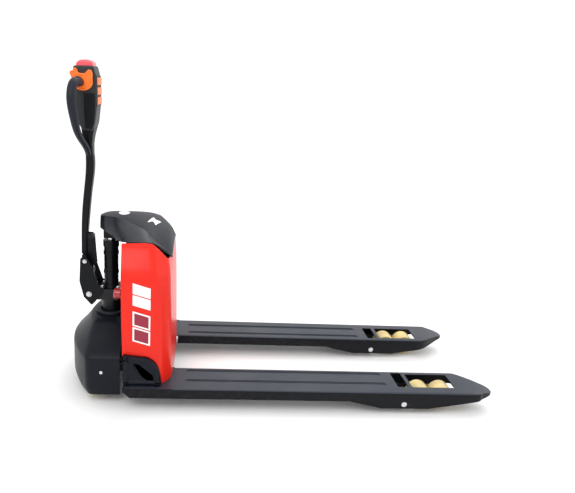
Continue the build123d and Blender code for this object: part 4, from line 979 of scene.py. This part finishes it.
class TRUCK_OT_tiller(bpy.types.Operator):
    """Finish the tiller's arm, knuckle, bolts and spring"""

    bl_idname = "truck.tiller"
    bl_label = "Tiller"

    def execute(self, context):
        edge = context.scene.truck_sizes.steel_round
        soften("tiller_arm", "arm paint", edge * 1.6, 3)
        soften("knuckle", "arm paint", edge * 1.5, 3)
        soften("spring_bracket", "link paint", edge)
        soften("spring_tube", "black paint", edge)
        soften("spring_rod", "chrome", 0.0006)
        cheek = [(at(x), z) for x, z in ARM_CHEEK]
        for side, name in SIDES:
            points, faces = prism(cheek, side * 0.009, side * 0.0118, (0.004,) * len(cheek))
            put_round(f"arm_cheek_{name}", points, faces, "tiller", "arm paint", 0.0006)
        points, faces = [], []
        low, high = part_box("knuckle_bolts")
        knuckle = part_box("knuckle")
        pivot_z, top_z = low.z + 0.009, high.z - 0.0065
        for side, _ in SIDES:
            face = side * knuckle[1].y
            add_bolt(points, faces, (at(-0.319), face, pivot_z), (0, side, 0), 0.0075, 0.005)
            add_bolt(points, faces, (at(-0.332), face, top_z), (0, side, 0), 0.0055, 0.005)
        piece = put_round("tiller_bolts", points, faces, "tiller", "bright steel", 0.0005)
        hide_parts("knuckle_bolts")
        return {"FINISHED"}


# ---- tiller head ----
POD = (
    (-0.354, 1.113), (-0.358, 1.080), (-0.355, 1.040), (-0.349, 0.985), (-0.342, 0.930), (-0.329, 0.909),
    (-0.296, 0.907), (-0.288, 0.930), (-0.281, 0.985), (-0.2795, 1.035), (-0.282, 1.085), (-0.290, 1.115),
)


POD_FACET = (
    (-0.322, 1.030), (-0.322, 0.960), (-0.318, 0.917), (-0.297, 0.914), (-0.291, 0.936), (-0.2865, 0.985),
    (-0.286, 1.030),
)
BUTTON_BED = ((-0.288, 0.984), (-0.280, 0.986), (-0.279, 1.036), (-0.2805, 1.086), (-0.288, 1.089))


class TRUCK_OT_head(bpy.types.Operator):
    """Build the moulded head between the grips, its neck and its side facets"""

    bl_idname = "truck.head"
    bl_label = "Tiller head"

    def execute(self, context):
        half = 0.0448
        radii = (0.006,) + (0.012,) * 4 + (0.006,) * 3 + (0.012,) * 3 + (0.006,)
        outline = rounded([Vector(p) for p in POD], radii, 4, closed=True)
        near = ((half, 0.005), (half - 0.0012, 0.0022), (half - 0.0048, 0.0004), (half - 0.0088, 0.0))
        layers = list(near) + [(-y, shrink) for y, shrink in reversed(near)]
        centre = Vector((-0.314, 1.008))
        grid = []
        for y, shrink in layers:
            ring = []
            for p in outline:
                spot = p - (p - centre).normalized() * shrink
                ring.append((at(spot.x), y, spot.y))
            grid.append(ring)
        points, faces = capped(grid)
        mesh = outward(mesh_of("pod", points, faces))
        piece = put("head_pod", mesh, "tiller", "pod plastic", ("head_body",))
        for face in piece.data.polygons:
            face.use_smooth = True
        for side, name in SIDES:
            line = [(at(x), z) for x, z in POD_FACET]
            points, faces = prism(line, side * (half - 0.002), side * (half + 0.0012), (0.004,) * len(line))
            put_round(f"pod_facet_{name}", points, faces, "tiller", "arm paint", 0.0007)
        neck = []
        for z, back, front, wide in (
            (0.826, -0.327, -0.301, 0.0185), (0.860, -0.330, -0.302, 0.0245), (0.890, -0.333, -0.298, 0.0315),
            (0.915, -0.335, -0.292, 0.0370),
        ):
            corners = [(back, wide), (front, wide), (front, -wide), (back, -wide)]
            line = rounded(corners, (0.005,) * 4, 4, closed=True)
            neck.append([(at(p.x), p.y, z) for p in line])
        points, faces = sheet_grid(neck, closed=True)
        put_round("head_neck", points, faces, "tiller", "arm paint", 0.0006)
        strip = [(at(x), z) for x, z in BUTTON_BED]
        points, faces = prism(strip, -0.0385, 0.0385, (0.003,) * 5)
        put_round("button_bed", points, faces, "tiller", "soft rubber", 0.001)
        return {"FINISHED"}


THROTTLE = (
    (-0.3635, 1.0905), (-0.3590, 1.0985), (-0.3535, 1.0955), (-0.3505, 1.1040), (-0.3455, 1.1075),
    (-0.3405, 1.1030), (-0.3385, 1.0940), (-0.3310, 1.0900), (-0.3150, 1.0905), (-0.3090, 1.0975),
    (-0.3020, 1.1035), (-0.2950, 1.1005), (-0.2915, 1.0940), (-0.2915, 1.0580), (-0.2970, 1.0470),
    (-0.3060, 1.0405), (-0.3180, 1.0365), (-0.3300, 1.0375), (-0.3450, 1.0420), (-0.3520, 1.0620),
)
THROTTLE_LAYERS = (  # depth below the outer face, inset from the outline
    (0.0140, 0.0030), (0.0125, 0.0008), (0.0100, 0.0), (0.0030, 0.0), (0.0010, 0.0008), (0.0, 0.0028),
    (0.0003, 0.0048), (0.0016, 0.0064), (0.0018, 0.0090),
)


class TRUCK_OT_controls(bpy.types.Operator):
    """Finish the throttle, the front buttons, the top switch and the emergency stop"""

    bl_idname = "truck.controls"
    bl_label = "Controls"

    def execute(self, context):
        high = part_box("throttle")[1]
        outline = rounded([Vector(p) for p in THROTTLE], (0.0045,) * len(THROTTLE), 4, closed=True)
        centre = Vector((-0.322, 1.066))
        for side, name in SIDES:
            grid = []
            for y, inset in THROTTLE_LAYERS:
                ring = [p + (centre - p).normalized() * inset for p in outline]
                grid.append([(at(p.x), side * (high.y - y), p.y) for p in ring])
            points, faces = capped(grid)
            piece = put_round(
                f"throttle_{name}", points, faces, "throttle", "control plastic", 0.0006
            )
            if side > 0:
                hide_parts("throttle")
        for place in ("upper", "middle", "lower"):
            soften(f"button_{place}", "control plastic", 0.0012, 3)
        soften("belly_button", "press plastic", 0.002, 3)
        soften("stop_button", "stop plastic", 0.0012, 3)
        soften("stop_collar", "collar plastic", 0.0012, 3)
        return {"FINISHED"}


class TRUCK_OT_grips(bpy.types.Operator):
    """Finish the looped hand grips"""

    bl_idname = "truck.grips"
    bl_label = "Grips"

    def execute(self, context):
        for _, name in SIDES:
            soften(f"grip_{name}", "grip rubber", 0.0015, 3, 40)
        return {"FINISHED"}


class TRUCK_OT_inside(bpy.types.Operator):
    """Finish the battery, controller and pump inside the chassis"""

    bl_idname = "truck.inside"
    bl_label = "Battery and controller"

    def execute(self, context):
        soften("battery", "case plastic", 0.002)
        soften("controller", "cast aluminium", 0.0008)
        soften("pump_unit", "cast aluminium", 0.0012)
        return {"FINISHED"}


PLATED_SHARE = 0.75  # how bright plated steel is beside bare steel
FINISH_LOOKS = (  # name, colour, and what differs from a plain finish
    ("panel paint", "panel", dict(
        spread=0.06, drift=3, rough=(0.30, 0.40), coat=0.15, coat_rough=0.12, specular=0.2, grain=260,
        depth=0.00006, soft=1.0, wear=0.25, wear_tone=(0.35, 0.02, 0.012), dust=0.05, scuff=0.06,
    )),
    ("moulding", "moulding", dict(
        spread=0.2, rough=(0.34, 0.44), grain=1500, depth=0.00005, dust=0.02, scuff=0.08, wear=0.25,
        wear_tone=(0.02, 0.023, 0.03), specular=0.16,
    )),
    ("moulding gloss", "moulding", dict(
        spread=0.2, rough=(0.24, 0.32), grain=1500, depth=0.00002, dust=0.02, coat=0.12, scuff=0.08,
        wear=0.2, wear_tone=(0.02, 0.023, 0.03), specular=0.25,
    )),
    ("cowl roof", "cowl_roof", dict(
        spread=0.12, rough=(0.50, 0.60), grain=1100, depth=0.00012, soft=0.25, dust=0.03, specular=0.3,
    )),
    ("fork paint", "fork", dict(
        spread=0.14, drift=4, rough=(0.36, 0.46), grain=700, depth=0.00005, soft=0.8, wear=0.35,
        wear_tone=(0.07, 0.075, 0.09), dust=0.03, coat=0.05, scuff=0.1, specular=0.35,
        stretch=(0.12, 1, 1),
    )),
    # painted shade: the darker finish laid on the side faces of the forks and chassis frame, beside their
    # lighter tops
    ("side paint", "black", dict(
        spread=0.2, rough=(0.4, 0.5), grain=700, depth=0.00005, soft=0.8, wear=0.25,
        wear_tone=(0.04, 0.042, 0.05), scuff=0.08, specular=0.16,
    )),
    ("link paint", "black", dict(
        spread=0.2, rough=(0.4, 0.55), wear=0.3, wear_tone=(0.08, 0.08, 0.09), dust=0.04, depth=0.00006,
        specular=0.3,
    )),
    ("black paint", "black", dict(
        spread=0.25, rough=(0.3, 0.42), wear=0.25, wear_tone=(0.08, 0.08, 0.09), depth=0.00005,
        specular=0.3,
    )),
    ("arm paint", "black", dict(
        spread=0.2, rough=(0.38, 0.48), grain=900, depth=0.00008, soft=0.3, wear=0.2,
        wear_tone=(0.03, 0.03, 0.034), scuff=0.1, stretch=(1, 1, 0.15), specular=0.16,
    )),
    ("cylinder paint", "black", dict(spread=0.2, rough=(0.25, 0.32), depth=0.00001, specular=0.18)),
    ("grip rubber", "rubber", dict(
        spread=0.25, rough=(0.42, 0.55), grain=1300, depth=0.00012, soft=0.2, scuff=0.06, specular=0.25,
    )),
    ("soft rubber", "rubber", dict(spread=0.2, rough=(0.5, 0.65), grain=900, depth=0.00008)),
    ("pod plastic", "pod", dict(
        spread=0.15, rough=(0.42, 0.52), grain=1400, depth=0.00010, soft=0.25, wear=0.15,
        wear_tone=(0.05, 0.05, 0.055), specular=0.3,
    )),
    ("control plastic", "control", dict(spread=0.1, rough=(0.32, 0.44), grain=900, depth=0.00003)),
    ("press plastic", "press", dict(spread=0.12, rough=(0.25, 0.35), coat=0.3, grain=900, depth=0.00002)),
    ("stop plastic", "stop", dict(spread=0.1, rough=(0.22, 0.32), coat=0.4, grain=900, depth=0.00002)),
    ("collar plastic", (0.55, 0.32, 0.02), dict(spread=0.1, rough=(0.3, 0.4))),
    ("tread", "tread", dict(
        spread=0.28, drift=22, rough=(0.32, 0.5), grain=400, depth=0.00006, dust=0.25,
        dust_tone=(0.30, 0.26, 0.18), streak=60, streak_depth=0.00006, stretch=(1, 8, 1), scuff=0.15,
    )),
    ("tyre", (0.012, 0.012, 0.012), dict(spread=0.2, rough=(0.6, 0.75), grain=500, depth=0.0001, dust=0.2)),
    ("bright steel", "steel", dict(
        spread=0.12, rough=(0.22, 0.34), metal=1.0, streak=200, streak_depth=0.00003, grain=1500,
        depth=0.00001,
    )),
    ("plated steel", "plated", dict(spread=0.16, rough=(0.3, 0.45), metal=0.85, dust=0.15)),
    ("chrome", (0.75, 0.75, 0.77), dict(spread=0.03, rough=(0.06, 0.12), metal=1.0, depth=0.000004)),
    ("cast iron", (0.10, 0.10, 0.105), dict(
        spread=0.2, rough=(0.45, 0.6), metal=0.8, grain=350, depth=0.0002,
    )),
    ("cast aluminium", (0.45, 0.45, 0.47), dict(
        spread=0.12, rough=(0.4, 0.55), metal=0.9, grain=500, depth=0.00015,
    )),
    ("case plastic", (0.02, 0.02, 0.022), dict(spread=0.2, rough=(0.5, 0.6), grain=800, depth=0.0001)),
    ("mark white", "mark", dict(spread=0.04, rough=(0.35, 0.45), depth=0.00001)),
    ("mark maroon", "mark_fill", dict(spread=0.08, rough=(0.35, 0.45), depth=0.00001)),
    ("studio floor", "floor", dict(spread=0.015, drift=0.7, rough=(0.75, 0.85), grain=60, depth=0.0001)),
)


class TRUCK_OT_finishes(bpy.types.Operator):
    """Make the shared effects and every finish"""

    bl_idname = "truck.finishes"
    bl_label = "Finishes"

    def execute(self, context):
        paint = context.scene.truck_colours
        for build in (tone_drift, fine_grain, edge_wear, settled_dust, rubbed_streaks):
            group = build()
            EFFECTS[group.name] = group
        for name, tone, choice in FINISH_LOOKS:
            if tone == "plated":
                tone = tuple(c * PLATED_SHARE for c in paint.steel)
            elif isinstance(tone, str):
                tone = tuple(getattr(paint, tone))
            make_finish(name, tone, **choice)
        return {"FINISHED"}


# ---- stage ----
EYE = (0.0583, -1.9523, 1.1158)  # x from the fork heels
YAW, PITCH, ROLL = 0.0861, -0.298, 0.063
LENS, SHIFT = 34.92, 0.08
LIT_SPOT = Vector((-0.2, 0, 0.4))


class TRUCK_OT_stage(bpy.types.Operator):
    """Lay the floor, set the studio lights and place the camera"""

    bl_idname = "truck.stage"
    bl_label = "Stage"

    def execute(self, context):
        half = context.scene.truck_sizes.floor_half
        rows = [[(half * (2 * c / 8 - 1), half * (2 * r / 8 - 1), 0.0) for c in range(9)] for r in range(9)]
        points, faces = sheet_grid(rows)
        floor = bpy.data.objects.new("studio_floor", mesh_of("studio_floor", points, faces))
        floor.data.materials.append(FINISHES["studio floor"])
        context.scene.collection.objects.link(floor)
        for name, spot, size, power in (
            ("key", (-1.3, -2.2, 3.0), 1.6, 30),
            ("top", (0.2, 0.9, 2.9), 2.4, 34),
            ("fill", (2.6, -1.2, 1.5), 1.8, 8),
        ):
            lamp = bpy.data.lights.new(name, "AREA")
            lamp.shape = "SQUARE"
            lamp.size = size
            lamp.energy = power
            light = bpy.data.objects.new(name, lamp)
            light.location = spot
            light.rotation_euler = (LIT_SPOT - Vector(spot)).to_track_quat("-Z", "Y").to_euler()
            context.scene.collection.objects.link(light)
        world = bpy.data.worlds.new("studio")
        world.use_nodes = True
        backdrop = world.node_tree.nodes["Background"]
        backdrop.inputs["Color"].default_value = (1, 1, 1, 1)
        backdrop.inputs["Strength"].default_value = 1.15
        context.scene.world = world
        context.scene.view_settings.view_transform = "Standard"
        lens = bpy.data.cameras.new("camera")
        lens.lens = LENS
        lens.sensor_width = 36
        lens.shift_x = SHIFT
        lens.clip_end = 60
        camera = bpy.data.objects.new("camera", lens)
        ahead = Vector((sin(YAW) * cos(PITCH), cos(YAW) * cos(PITCH), sin(PITCH)))
        right = Vector((cos(YAW), -sin(YAW), 0))
        up = right.cross(ahead)
        turned = right * cos(ROLL) + up * sin(ROLL)
        upright = up * cos(ROLL) - right * sin(ROLL)
        pose = Matrix((turned, upright, -ahead)).transposed().to_4x4()
        camera.matrix_world = Matrix.Translation((at(EYE[0]), EYE[1], EYE[2])) @ pose
        context.scene.collection.objects.link(camera)
        context.scene.camera = camera
        return {"FINISHED"}


OPERATORS = (
    TRUCK_OT_finishes,
    TRUCK_OT_forks,
    TRUCK_OT_running_gear,
    TRUCK_OT_drive,
    TRUCK_OT_inside,
    TRUCK_OT_panels,
    TRUCK_OT_cowl,
    TRUCK_OT_shroud,
    TRUCK_OT_covers,
    TRUCK_OT_mast,
    TRUCK_OT_tiller,
    TRUCK_OT_head,
    TRUCK_OT_controls,
    TRUCK_OT_grips,
    TRUCK_OT_marks,
    TRUCK_OT_stage,
)


class TRUCK_PT_panel(bpy.types.Panel):
    """Lists the truck's pieces, sizes and colours"""

    bl_idname = "TRUCK_PT_panel"
    bl_label = "Pallet truck"
    bl_space_type = "VIEW_3D"
    bl_region_type = "UI"
    bl_category = "Truck"

    def draw(self, context):
        for operator in OPERATORS:
            self.layout.operator(operator.bl_idname)
        for group in (context.scene.truck_sizes, context.scene.truck_colours):
            for key in group.__annotations__:
                self.layout.prop(group, key)


CLASSES = (TruckColours, TruckSizes, *OPERATORS, TRUCK_PT_panel)


def register():
    for item in CLASSES:
        bpy.utils.register_class(item)
    bpy.types.Scene.truck_colours = bpy.props.PointerProperty(type=TruckColours)
    bpy.types.Scene.truck_sizes = bpy.props.PointerProperty(type=TruckSizes)


def unregister():
    del bpy.types.Scene.truck_sizes
    del bpy.types.Scene.truck_colours
    for item in reversed(CLASSES):
        bpy.utils.unregister_class(item)


def main():
    register()
    for operator in OPERATORS:
        family, call = operator.bl_idname.split(".")
        if getattr(getattr(bpy.ops, family), call)() != {"FINISHED"}:
            raise RuntimeError(f"{operator.bl_label} did not finish")


if __name__ == "__main__":
    main()
